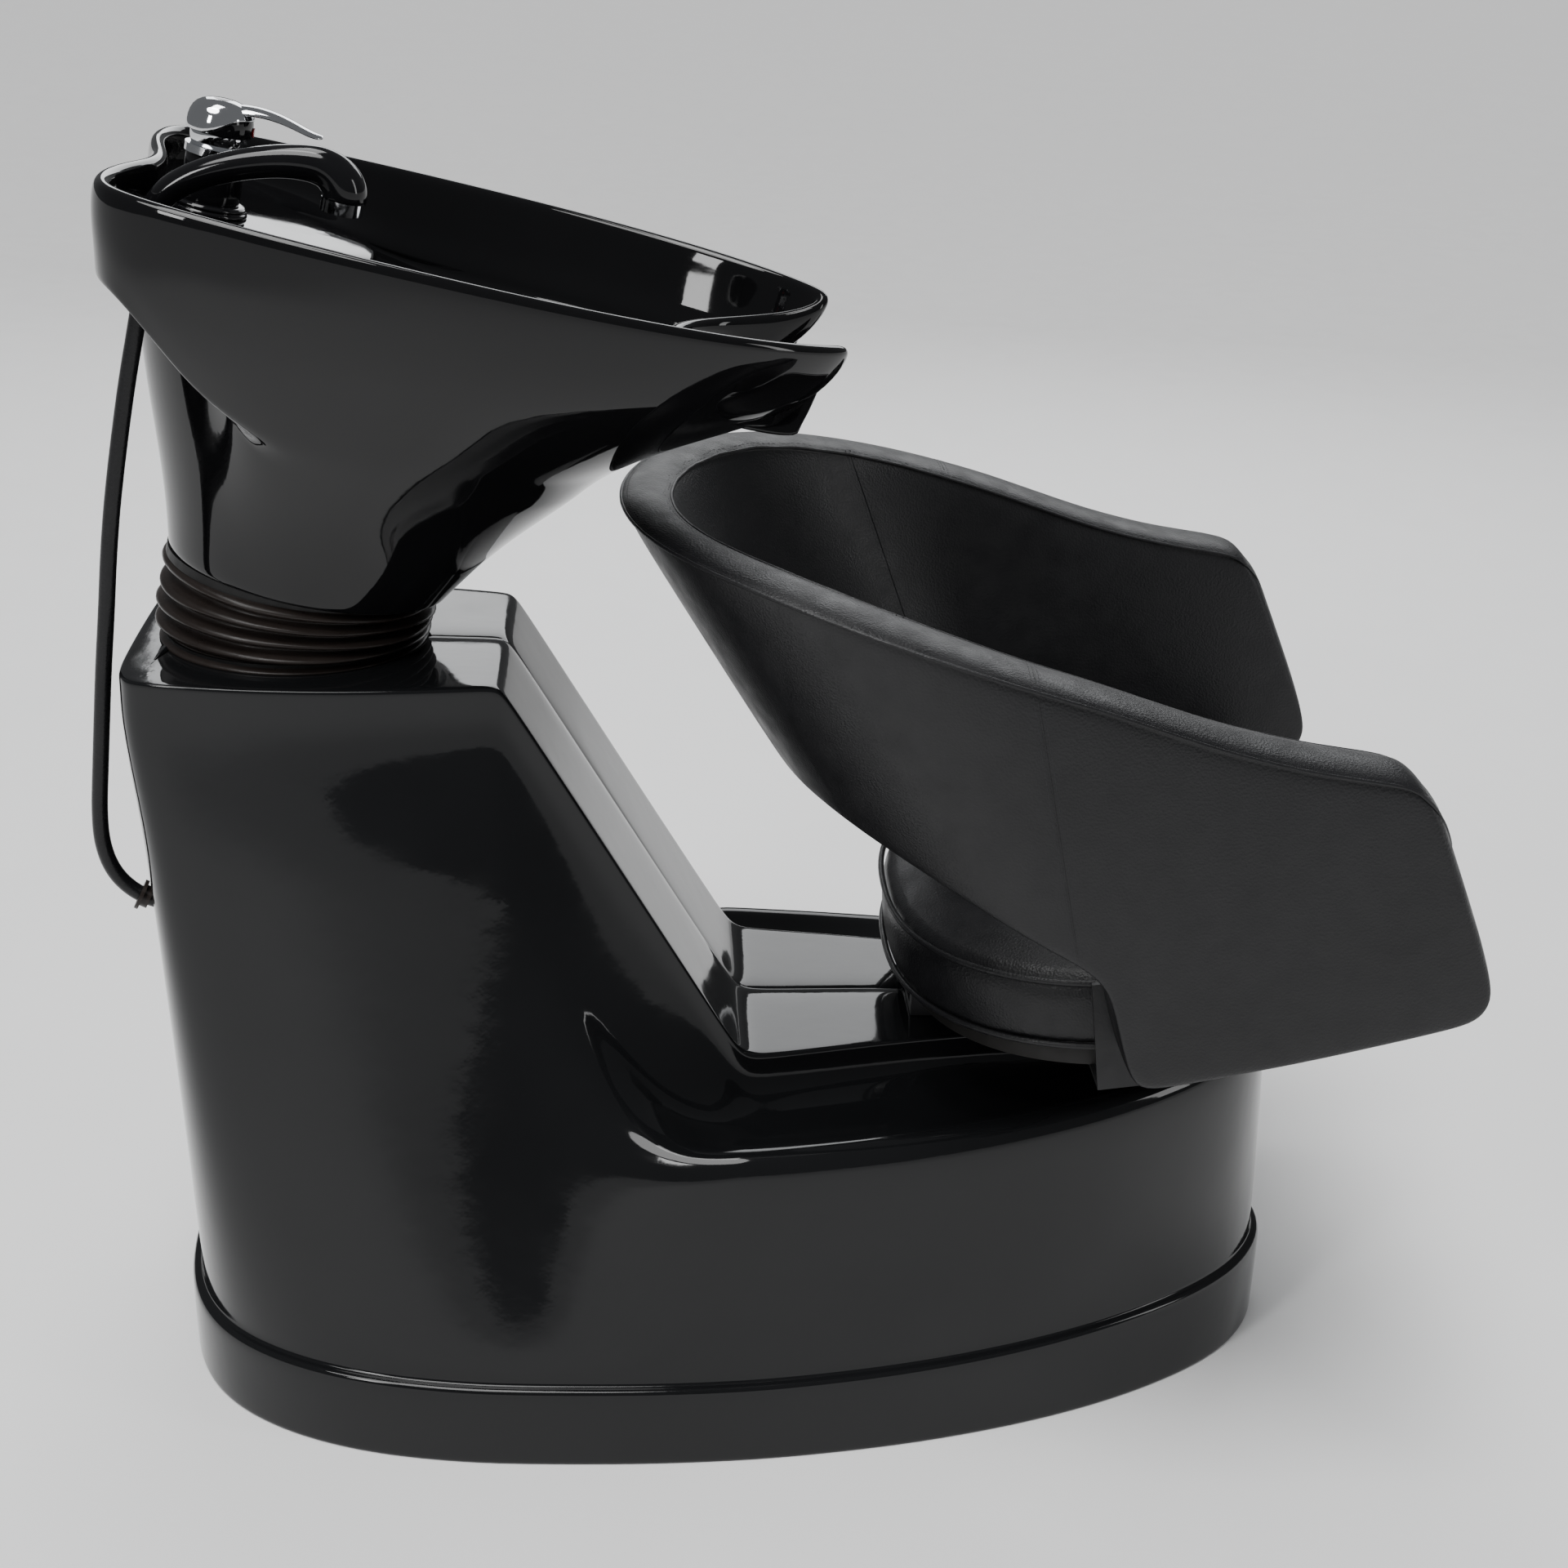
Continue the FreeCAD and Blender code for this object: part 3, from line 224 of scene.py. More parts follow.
kick = 0.070 + 0.012 * front_share
rows = [hull(0.0, 0.0), hull(0.004, 0.0), hull(0.030, 0.0), hull(kick - 0.008, 0.0002), hull(kick - 0.0012, 0.0012),
        hull(kick + 0.0003, 0.0045), hull(kick + 0.0006, 0.0080), hull(kick + 0.0035, 0.0092),
        hull(kick + 0.014, 0.0095)]
crest_z = 0.268 + 0.018 * front_share
foot = rows[-1]
# (height on the plain wall, height on the scooped side, inset from hull, share of the way to the block)
LEDGE = ((0.150, 0.150, 0.0125, 0.0), (0.235, 0.225, 0.0160, 0.0), (0.290, 0.256, 0.0185, 0.0),
         (0.318, 0.268, 0.0225, 0.02),
         (0.345, 0.2715, 0.0300, 0.04), (0.375, 0.2690, 0.0370, 0.10), (0.410, 0.2630, 0.0430, 0.22),
         (0.450, 0.2585, 0.0450, 0.48), (0.495, 0.2580, 0.0450, 0.78))
for plain_z, cut_z, inset, share in LEDGE:
    level = cut_z + (crest_z - 0.268)
    wall = hull(level, inset)
    wall[:, :2] += share * (edge[:, :2] + np.array([0, 0.006]) - wall[:, :2])
    rise = (plain_z - foot[:, 2]) / (0.618 - foot[:, 2])
    target = foot[:, 2] + rise * (edge[:, 2] - foot[:, 2])
    bulge = 0.010 * np.sin(np.pi * rise) * ramp(edge[:, 0], -0.49, -0.40)
    plain = foot + rise[:, None] * (edge - foot)
    plain[:, 2] = target
    plain[:, 1] -= bulge
    rows.append(plain + scooped[:, None] * (wall - plain))
low = edge.copy()
low[:, 1] += 0.0035 * scooped * ramp(edge[:, 1], 0, 0.03)
low[:, 2] = np.where(scooped > 0.5, np.maximum(edge[:, 2] - 0.032, 0.262), edge[:, 2] - 0.045)
rows.append(low)
for drop, inset in ((0.010, 0.0004), (0.0022, 0.0), (0.0, 0.0022), (0.0, 0.009)):
    ring = edge.copy()
    shrink = np.minimum(inset / np.maximum(np.hypot(edge[:, 0] + 0.12, edge[:, 1]), 0.05), 0.2)
    ring[:, 1] *= 1 - shrink * 1.2
    ring[:, 0] -= np.where(edge[:, 0] > 0.40, 1, np.where(edge[:, 0] < -0.495, -1, 0)) * inset
    ring[:, 2] -= drop
    rows.append(ring)
inner = rows[-1]
for share in (0.5, 0.94):
    mid = inner.copy()
    mid[:, 1] *= 1 - share
    pull = ramp(np.abs(edge[:, 0] + 0.04), 0.44, 0.47)
    mid[:, 0] -= pull * share * 0.05 * np.sign(edge[:, 0])
    rows.append(mid)
seam = rows[-1].copy()
seam[:, 1] *= 0.15
seam[:, 2] -= 0.0016
rows.append(seam)
base = skin("base_moulding", [mirrored(r) for r in rows], last="zip", flip=True)
shell = base.modifiers.new("thickness", "SOLIDIFY")
shell.thickness = 0.005
shell.offset = -1
smooth(base, 2)
gelcoat = finish_of("black gelcoat", (0.0075, 0.0078, 0.0085), rough=(0.04, 0.11), coat=0.1, grain=(26, 0.05, 0.004),
                    spots=5)
dress(base, gelcoat, "base")
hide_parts("base_shell_left", "base_shell_right")

# ------------------------------------------------------------------ tilting ceramic bowl
# Slip-cast vitreous china, glazed gloss black all over. A wide rim skirt hangs behind a
# narrower pedestal; the front rises to two horns with the neck notch between them.

PIVOT = np.array([-0.3685, 0.0, 0.660])
TILT = math.radians(11.5)


def tilted(points):
    """Bowl millimetres about the pivot, level, to metres in the row frame: turned by the tilt about +Y."""
    p = np.asarray(points, float) / 1000
    c, s = math.cos(TILT), math.sin(TILT)
    x = p[..., 0] * c + p[..., 2] * s
    z = -p[..., 0] * s + p[..., 2] * c
    return np.stack([x, p[..., 1], z], -1) + PIVOT


RIM = np.array([
    (-174, 0), (-176, 24), (-182, 48), (-188, 76), (-191, 104), (-190, 132), (-184, 156), (-168, 176), (-136, 190),
    (-92, 199), (-42, 206), (10, 210), (60, 211), (108, 210), (154, 206), (200, 198), (244, 187), (284, 172),
    (320, 152),
    (346, 131), (361, 114), (366, 100), (358, 88), (334, 84), (302, 79), (272, 63), (250, 36), (242, 0)], float)
count = len(RIM)
index = np.arange(count)
rim_z = np.interp(index, [0, 20, 21, 22, 23, 24, 25, 26, 27], [307, 307, 305, 298, 286, 276, 270, 267, 266])
angle = np.radians(np.where(index <= 21, 150 * index / 21, 150 + 30 * (index - 21) / 6))
loop = mirrored(np.column_stack([RIM, rim_z]))
ahead = np.roll(loop, -1, 0) - np.roll(loop, 1, 0)
normal = np.column_stack([-ahead[:, 1], ahead[:, 0]])
normal /= np.linalg.norm(normal, axis=1)[:, None]
normal = -normal[:count]
normal *= np.sign((normal * (RIM - RIM[12] * [1, 0])).sum(1)[2])


def stack(levels, z):
    """Outline at height z for each station, on a cubic through the superellipse levels whose
    slope at each level is that of its two neighbours."""
    plans = np.array([egg_point(angle, *level[1:]) for level in levels])
    heights = np.array([level[0] for level in levels], float)
    slopes = np.gradient(plans, heights, axis=0)
    z = np.clip(np.broadcast_to(z, (count,)).astype(float), heights[0], heights[-1])
    low = np.clip(np.searchsorted(heights, z) - 1, 0, len(heights) - 2)
    gap = (heights[low + 1] - heights[low])[:, None]
    t = (z - heights[low])[:, None] / gap
    k = np.arange(count)
    out = ((2 * t ** 3 - 3 * t ** 2 + 1) * plans[low, k] + (t ** 3 - 2 * t ** 2 + t) * gap * slopes[low, k]
           + (3 * t ** 2 - 2 * t ** 3) * plans[low + 1, k] + (t ** 3 - t ** 2) * gap * slopes[low + 1, k])
    return np.column_stack([out, z])


SHELL_LEVELS = ((15, -115, 110, -3, 109, 2.0, 2.0), (40, -118, 124, 0, 112, 2.05, 2.0),
                (66, -124, 143, 0, 120, 2.2, 2.0),
                (90, -136, 163, 4, 130, 2.35, 2.0), (115, -150, 186, 10, 143, 2.5, 2.05),
                (158, -172, 226, 28, 166, 2.9, 1.95),
                (197, -184, 292, 42, 184, 3.6, 1.9), (238, -188, 362, 54, 202, 4.2, 2.1))
COLUMN_LEVELS = ((15, -115, 110, -3, 109, 2.0, 2.0), (66, -125, 143, 0, 117, 2.0, 2.0),
                 (115, -142, 186, 4, 128, 2.0, 2.05),
                 (189, -164, 300, 10, 142, 2.0, 2.3), (240, -172, 384, 10, 152, 2.0, 2.6))
notch_share = ramp(index, 17.5, 26)


def wall(z):
    """Outer shell of the bowl at height z, drawn back behind the notch, meeting the rim at the top."""
    z = np.broadcast_to(z, (count,)).astype(float)
    plan = stack(SHELL_LEVELS, np.minimum(z, 238))
    back = np.interp(z, [120, 160, 197, 238, 262], [200, 226, 250, 262, 262])
    plan[:, 0] += notch_share * (np.minimum(plan[:, 0], back) - plan[:, 0])
    near_rim = ramp(z / (rim_z - 9), 0.66, 1.0)[:, None]
    plan[:, :2] += near_rim * (RIM - plan[:, :2])
    plan[:, 2] = z
    return plan


hem = np.interp(index, [0, 6, 7, 8, 9, 10, 11, 12, 14, 27], [236, 236, 228, 205, 176, 150, 136, 130, 130, 130])
step = np.interp(index, [0, 7, 8, 9, 10, 11, 12, 27], [1, 1, 0.85, 0.58, 0.28, 0.05, 0, 0])[:, None]
rows = [stack(SHELL_LEVELS, 15) * [0.5, 0.5, 0] + [0, 0, 40], stack(SHELL_LEVELS, 15) * [0.85, 0.85, 0] + [0, 0, 40],
        stack(SHELL_LEVELS, 15) * [0.88, 0.88, 0] + [0, 0, 36], stack(SHELL_LEVELS, 15) * [0.88, 0.88, 0] + [0, 0, 18],
        stack(SHELL_LEVELS, 15) * [0.91, 0.91, 0] + [0, 0, 14.5],
        stack(SHELL_LEVELS, 15) * [0.985, 0.985, 0] + [0, 0, 14.5],
        stack(SHELL_LEVELS, 15) + [0, 0, 2.5]]
for share in (0.14, 0.36, 0.58, 0.80, 0.95, 1.0):
    z = 17 + share * (hem - 17)
    shell_row = wall(z)
    rows.append(shell_row + step * (stack(COLUMN_LEVELS, z) - shell_row))
column = stack(COLUMN_LEVELS, hem)
for rise, inward, dip in ((1.5, 9, 7), (3.0, 9, -3), (4.5, 1.5, -5), (6.5, 0, -1)):
    ring = wall(hem + rise + 3.5 * rise * ramp(1 - step[:, 0], 0.3, 1.0))
    ring[:, :2] -= inward * normal * step
    if dip > 0:
        ring[:, :2] += 0.35 * step * (column - ring)[:, :2]
    rows.append(ring + step * [0, 0, dip])
top = rim_z - 9
for share in (0.3, 0.6, 0.85):
    start = hem + 7 + 23 * ramp(1 - step[:, 0], 0.3, 1.0)
    rows.append(wall(start + share * (top - start)))


def rim_row(inset, drop):
    return np.column_stack([RIM - inset * normal, rim_z - drop])


rows += [rim_row(0, 9), rim_row(0.6, 3.5), rim_row(3.5, 0.4), rim_row(8.5, 0.2), rim_row(12.3, 2.8), rim_row(13.8, 9)]
deck = np.interp(index, [0, 7, 9, 11, 27], [1, 1, 0.65, 0, 0])[:, None]
TONGUE = np.array([(5, 0), (4, 18), (-1, 35), (-12, 50), (-28, 61), (-48, 71), (-68, 82), (-84, 98),
                   (-88, 124), (-70, 150),
                   (-36, 168), (10, 178)], float)
lobe = np.vstack([TONGUE, np.zeros((count - len(TONGUE), 2))])


def inside(inset, z, deck_inset, deck_z):
    """Row inside the rim: basin wall at the sides and front, deck behind."""
    open_row = rim_row(inset, 0)
    open_row[:, 2] = rim_z - 9 - (298 - z) * (rim_z - 231) / 67
    deck_row = rim_row(deck_inset, 0)
    deck_row[:, 2] = deck_z
    return open_row + deck * (deck_row - open_row)


rows.append(inside(15.5, 288, 15, 284))
rows.append(inside(18, 276, 17, 277))
rows.append(inside(21, 264, 22, 274.3))
last_deck = rows[-1]
brim = rim_row(30, 0)
brim[:, 2] = 228 + 12 * (rim_z - 266) / 41
brim[:12, :2] = lobe[:12]
brim[:, 2] += deck[:, 0] * 34
lip = brim.copy()
lip[:12, :2] += (lobe[:12] - [-60, 0]) / np.linalg.norm(lobe[:12] - [-60, 0], axis=1)[:, None] * 4.0
lip[:, 2] -= 6.5
rows += [last_deck + 0.55 * (brim - last_deck), brim, lip]
BASIN_LEVELS = ((58, -36, 40, 0, 38, 2, 2), (62, -38, 52, 0, 46, 2, 2), (78, -41, 92, 10, 66, 2, 2.1),
                (108, -42, 150, 25, 94, 2, 2.2), (152, -40, 212, 48, 126, 2.1, 2.3), (200, -32, 268, 72, 158, 2.2, 2.5),
                (232, -24, 300, 80, 174, 2.2, 2.7))
for z in (228, 200, 152, 108, 78, 64):
    row = stack(BASIN_LEVELS, z)
    limit = np.interp(z, [60, 152, 200, 232], [400, 200, 216, 218])
    row[:, 0] += notch_share * (np.minimum(row[:, 0], limit) - row[:, 0])
    rows.append(row)
circle = np.column_stack([-np.cos(angle), np.sin(angle), np.zeros(count)])
rows += [circle * 33 + [0, 0, 60], circle * 23 + [0, 0, 59.5], circle * 21 + [0, 0, 57], circle * 21 + [0, 0, 46]]
bowl = skin("bowl_casting", [tilted(mirrored(r)) for r in rows], first="pole", last="pole", flip=True)
smooth(bowl, 2)
glaze = finish_of("black glaze", (0.0045, 0.0045, 0.005), rough=(0.02, 0.06), coat=0.15,
                  grain=(18, 0.04, 0.004), spots=6)
dress(bowl, glaze, "bowl_unit")
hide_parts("bowl")

# ------------------------------------------------------------------ bellows boot
# Moulded rubber boot, clamped to the column below and to the bowl above. Its pleats
# follow the bowl's lean.

bottom_z = 0.6182
rows = []
steps = 64
turns = np.linspace(0, 2 * math.pi, 72, endpoint=False)
for i in range(steps + 1):
    t = i / steps
    lean = TILT * t
    fold = math.cos(2 * math.pi * 4.5 * t + 0.3)
    pleat = 0.0058 * (abs(fold) ** 0.6 * math.copysign(1, fold)) * (0.35 + 0.65 * math.sin(math.pi * t) ** 0.5)
    local = 0.1050 + pleat - 0.0015 * t
    wobble = 0.0016 * np.sin(3 * turns + 7 * t) + 0.0010 * np.sin(5 * turns - 13 * t)
    radius = local + wobble * math.sin(math.pi * t)
    centre_z = bottom_z + (0.660 + 0.015 * math.cos(TILT) - bottom_z) * t
    centre_x = PIVOT[0] - 0.0105 - 0.002 * (1 - t) + 0.015 * math.sin(TILT) * t
    x = -np.cos(turns) * radius
    y = np.sin(turns) * radius
    rows.append(np.column_stack([centre_x + x * math.cos(lean), y, centre_z - x * math.sin(lean)]))
inner_rows = [r + (r.mean(0) - r) * [0.03, 0.03, 0] for r in rows[::-1]]
boot = skin("bellows_boot", rows + inner_rows + [rows[0]], flip=True)
rubber = finish_of("boot rubber", (0.022, 0.017, 0.015), rough=(0.26, 0.42), grain=(240, 0.12, 0.001), spots=14)
dress(boot, rubber, None)
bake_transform(boot)
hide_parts("bellows")

# ------------------------------------------------------------------ chair back and arms
# One curved padded wall: plywood core, foam, and black leatherette panels sewn to a
# border strip that runs along the top of the back and down the arm fronts.


def on_wall(turn, share, z, side_in=0.0, back_in=0.0):
    """Point of the raked bucket at height z: turn sweeps the back from 0 to 90 degrees and share
    then runs along the straight arm; side_in and back_in set it in from the outer skin."""
    drop = 0.741 - z
    rear = -0.1215 + 0.66 * drop + back_in
    half = 0.319 - 0.03 * drop - side_in
    straight = 0.1835 + 0.2 * drop
    nose = 0.4605 + 0.449 * np.clip(0.629 - z, -0.02, 0.167)
    x = straight - (straight - rear) * math.cos(turn)
    x = x + share * (nose - straight)
    return np.array([x, half * math.sin(turn), z])


# stations from the middle of the back to the arm's front: turn, share along the arm at the top and
# at the bottom, and the heights of the two edges
WALL = ((0, 0, 0, 0.741, 0.541), (11, 0, 0, 0.741, 0.542), (22, 0, 0, 0.741, 0.544), (33, 0, 0, 0.7405, 0.5445),
        (44, 0, 0, 0.738, 0.539), (55, 0, 0, 0.731, 0.529), (66, 0, 0, 0.720, 0.512), (77, 0, 0, 0.707, 0.492),
        (86, 0, 0, 0.695, 0.478), (90, 0.07, 0.02, 0.685, 0.462), (90, 0.16, 0.035, 0.6775, 0.436),
        (90, 0.25, 0.045, 0.6700, 0.402), (90, 0.34, 0.065, 0.6625, 0.374), (90, 0.44, 0.13, 0.6545, 0.3735),
        (90, 0.56, 0.30, 0.6465, 0.384), (90, 0.70, 0.52, 0.6385, 0.398), (90, 0.84, 0.74, 0.6335, 0.415),
        (90, 0.94, 0.90, 0.6300, 0.428), (90, 0.985, 0.975, 0.6250, 0.436), (90, 1.0, 1.0, 0.6140, 0.450))
# round the section: face ("out", "top", "in", "under"), share along it, and puff out from it
SECTION = (("out", 0.0, -0.004), ("out", 0.012, 0.0), ("out", 0.06, 0.0012), ("out", 0.3, 0.002), ("out", 0.6, 0.002),
           ("out", 0.88, 0.0015), ("out", 0.975, 0.0), ("out", 0.988, -0.0018), ("out", 0.996, 0.0012),
           ("top", 0.03, 0.0005),
           ("top", 0.16, 0.0035), ("top", 0.5, 0.0055), ("top", 0.84, 0.0035), ("top", 0.97, 0.0005),
           ("in", 0.996, 0.0012),
           ("in", 0.988, -0.0018), ("in", 0.975, 0.0), ("in", 0.88, 0.0015), ("in", 0.6, 0.002), ("in", 0.3, 0.002),
           ("in", 0.06, 0.0012), ("in", 0.012, 0.0), ("in", 0.0, -0.004), ("under", 0.5, 0.002))


def wall_row(station):
    """Section loop of the padded wall at one station."""
    turn, top_share, low_share, top_z, low_z = station
    turn = math.radians(turn)
    loop_points = []
    out_low, out_top = on_wall(turn, low_share, low_z), on_wall(turn, top_share, top_z)
    in_low = on_wall(turn, low_share, low_z + 0.004, 0.062, 0.040)
    in_top = on_wall(turn, top_share, top_z, 0.062, 0.040)
    across = out_top - in_top
    across /= np.linalg.norm(across)
    for face, share, puff in SECTION:
        if face in ("out", "in"):
            z = low_z + share * (top_z - low_z)
            along = low_share + share * (top_share - low_share)
            inset = (0.062, 0.040) if face == "in" else (0.0, 0.0)
            point = on_wall(turn, along, z, *inset)
            point = point + across * (puff if face == "out" else -puff)
        elif face == "top":
            point = out_top + share * (in_top - out_top) + [0, 0, puff]
        else:
            point = out_low + share * (in_low - out_low) - [0, 0, puff]
        loop_points.append(point)
    return np.array(loop_points)


half_rows = [wall_row(s) for s in WALL]
nose = half_rows[-1]
middle = nose.mean(0)
for share, out in ((0.10, 0.0035), (0.35, 0.006), (0.7, 0.007)):
    half_rows.append(nose + share * (middle - nose) + [out, 0, out * 0.45])
other_rows = [r * [1, -1, 1] for r in half_rows[:0:-1]]
chair = skin("chair_upholstery", other_rows + half_rows, first="face", last="face", flip=True)
smooth(chair, 2)
hide = finish_of("black leatherette", (0.0075, 0.0075, 0.0085), rough=(0.36, 0.50), shine=0.35,
                 grain=(520, 0.35, 0.0006), spots=9,
                 weave="cells")
dress(chair, hide, "base")
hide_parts("chair_outer_cover", "chair_inner_pad", "chair_edge_trim", "chair_core")


def on_cover(path, spacing):
    """Points at an even spacing along a broken line, laid onto the cover with its normal there."""
    path = np.asarray(path, float)
    reach = np.concatenate([[0], np.cumsum(np.linalg.norm(np.diff(path, axis=0), axis=1))])
    marks = np.arange(0, reach[-1], spacing)
    places = np.column_stack([np.interp(marks, reach, path[:, k]) for k in range(3)])
    return laid(places)


def laid(places):
    """Nearest points on the chair cover and the normals there."""
    cover_now = chair.evaluated_get(bpy.context.evaluated_depsgraph_get())
    found = [cover_now.closest_point_on_mesh(Vector(p)) for p in places]
    return np.array([f[1] for f in found]), np.array([f[2] for f in found])


def sewn(name, path, aside, mat):
    """Row of thread stitches along a path, set aside from it across the cover. Each is a six-sided
    prism 4.2 mm long with tapered ends that sits in the cover by half its thickness."""
    spots, normals = on_cover(path, 0.0058)
    along = np.gradient(spots, axis=0)
    along /= np.linalg.norm(along, axis=1)[:, None]
    across = np.cross(normals, along)
    spots, normals = laid(spots + aside * across)
    across = np.cross(normals, along)
    points, faces = [], []
    for spot, up, ahead_, side in zip(spots, normals, along, across):
        first = len(points)
        for reach, radius in ((-2.1, 0.25), (-1.5, 0.5), (1.5, 0.5), (2.1, 0.25)):
            for k in range(6):
                turn = k * math.pi / 3
                ring = (math.cos(turn) * side + math.sin(turn) * up) * radius / 1000
                points.append(spot + ring + ahead_ * reach / 1000 + up * 0.0003)
        for i in range(3):
            for k in range(6):
                j = (k + 1) % 6
                faces.append((first + 6 * i + k, first + 6 * i + j, first + 6 * i + 6 + j, first + 6 * i + 6 + k))
        faces.append(tuple(first + k for k in reversed(range(6))))
        faces.append(tuple(first + 18 + k for k in range(6)))
    mesh = bpy.data.meshes.new(name)
    mesh.from_pydata([tuple(p) for p in points], [], [tuple(reversed(f)) for f in faces])
    mesh.update()
    obj = bpy.data.objects.new(name, mesh)
    bpy.context.scene.collection.objects.link(obj)
    return dress(obj, mat, "base")


def welt(name, path, radius):
    """Closed tube of hide along a path on the cover, half sunk into the join it covers."""
    spots, normals = on_cover(path, 0.012)
    along = np.gradient(spots, axis=0)
    along /= np.linalg.norm(along, axis=1)[:, None]
    across = np.cross(normals, along)
    turns_ = np.linspace(0, 2 * math.pi, 8, endpoint=False)
    tube_rows = [spot + radius * (np.cos(turns_)[:, None] * side + np.sin(turns_)[:, None] * up)
                 for spot, up, side in zip(spots, normals, across)]
    obj = skin(name, tube_rows, first="face", last="face")
    smooth(obj, 1)
    return dress(obj, hide, "base")


thread = finish_of("black thread", (0.022, 0.022, 0.024), rough=(0.5, 0.65), grain=(900, 0.4, 0.0003), spots=60)
all_rows = other_rows + half_rows[:-3]
edge_out = [r[8] for r in all_rows]
edge_in = [r[14] for r in all_rows]
welt("welt_outer", edge_out, 0.0016)
welt("welt_inner", edge_in, 0.0016)
sewn("stitches_outer", edge_out, 0.007, thread)
sewn("stitches_inner", edge_in, -0.007, thread)
for side_name, sign in (("left", 1), ("right", -1)):
    for place, turn_at in (("back", 66), ("arm", 86)):
        station = [w for w in WALL if w[0] == turn_at][0]
        line = wall_row(station) * [1, sign, 1]
        if place == "back":
            path = line[13:22]
        else:
            path = line[1:14]
        for k, aside in enumerate((-0.0032, 0.0032)):
            sewn("stitches_%s_%s_%d" % (place, side_name, k), path, aside, thread)
        welt("seam_%s_%s" % (place, side_name), path, 0.0007)

# ------------------------------------------------------------------ seat cushion
# Foam block in the same leatherette: flat top panel and a wall panel, with a piped
# seam above and below. It is screwed to the plywood board through its base.

SEAT_HINGE = np.array([0.1195, 0, 0.325])
SEAT_TILT = math.radians(8)
low_corner, high_corner = (0.1195, -0.236, 0.3433), (0.505, 0.236, 0.4113)


def reclined(obj):
    """Turn a seat piece front up about the board's rear lower edge."""
    c, s = math.cos(SEAT_TILT), math.sin(SEAT_TILT)
    p = np.array([v.co for v in obj.data.vertices], float) - SEAT_HINGE
    x = p[:, 0] * c - p[:, 2] * s
    z = p[:, 0] * s + p[:, 2] * c
    obj.data.vertices.foreach_set("co", (np.column_stack([x, p[:, 1], z]) + SEAT_HINGE).ravel())
    obj.data.update()
    return obj


turn = np.linspace(0, 2 * math.pi, 120, endpoint=False)


def seat_plan(inset, z):
    """Cushion outline: blunt superellipse, round behind and nearly square in front."""
    c, s = np.cos(turn), np.sin(turn)
    power = np.where(c > 0, 7.0, 2.35)
    reach = np.where(c > 0, high_corner[0] - 0.345, 0.345 - low_corner[0]) - inset
    x = 0.345 + np.sign(c) * np.abs(c) ** (2 / power) * reach
    y = np.sign(s) * np.abs(s) ** (2 / power) * (high_corner[1] - inset)
    return np.column_stack([x, y, np.full(len(turn), z)])


z0, z1 = low_corner[2], high_corner[2]
outline = [(0.30, z0 + 0.001), (0.012, z0 + 0.001), (0.004, z0 + 0.003), (0.0015, z0 + 0.010), (0.001, z0 + 0.030),
           (0.002, z1 - 0.022), (0.006, z1 - 0.010), (0.014, z1 - 0.004), (0.040, z1 - 0.001), (0.09, z1), (0.15, z1),
           (0.20, z1)]
pad = skin("seat_pad", [seat_plan(i if i < 0.2 else 0.21, z) for i, z in outline], first="face", last="face")
bpy.context.view_layer.objects.active = pad
rebuild = pad.modifiers.new("even", "REMESH")
rebuild.mode = "VOXEL"
rebuild.voxel_size = 0.0055
rebuild.use_smooth_shade = True
pad.select_set(True)
bpy.ops.object.modifier_apply(modifier="even")
start = np.array([v.co for v in pad.data.vertices], float)
held = pad.vertex_groups.new(name="held")
seated = start[:, 2] < z0 + 0.012
held.add([int(i) for i in np.where(seated)[0]], 1.0, "REPLACE")
cloth = pad.modifiers.new("stuffing", "CLOTH")
cloth.settings.use_pressure = True
cloth.settings.uniform_pressure_force = 4.0
cloth.settings.tension_stiffness = 15
cloth.settings.compression_stiffness = 15
cloth.settings.bending_stiffness = 4
cloth.settings.vertex_group_mass = "held"
cloth.settings.effector_weights.gravity = 0
for number in range(1, 15):
    bpy.context.scene.frame_set(number)
bpy.ops.object.modifier_apply(modifier="stuffing")
bpy.context.scene.frame_set(1)
moved = np.array([v.co for v in pad.data.vertices], float)
shift = moved - start
size = np.linalg.norm(shift, axis=1)
shift *= np.minimum(1, 0.006 / np.maximum(size, 1e-6))[:, None]
shift[:, :2] *= 0.35
links = np.array([e.vertices[:] for e in pad.data.edges])
valence = np.bincount(links.ravel(), minlength=len(shift))[:, None]
# taut hide: each point's rise is eased towards its neighbours'
for _ in range(60):
    total = np.zeros_like(shift)
    np.add.at(total, links[:, 0], shift[links[:, 1]])
    np.add.at(total, links[:, 1], shift[links[:, 0]])
    shift = 0.5 * shift + 0.5 * total / valence
pad.data.vertices.foreach_set("co", (start + shift).ravel())
pad.data.update()
for polygon in pad.data.polygons:
    polygon.use_smooth = True
reclined(pad)
smooth(pad, 1)
dress(pad, hide, "base")
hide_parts("seat_cushion")


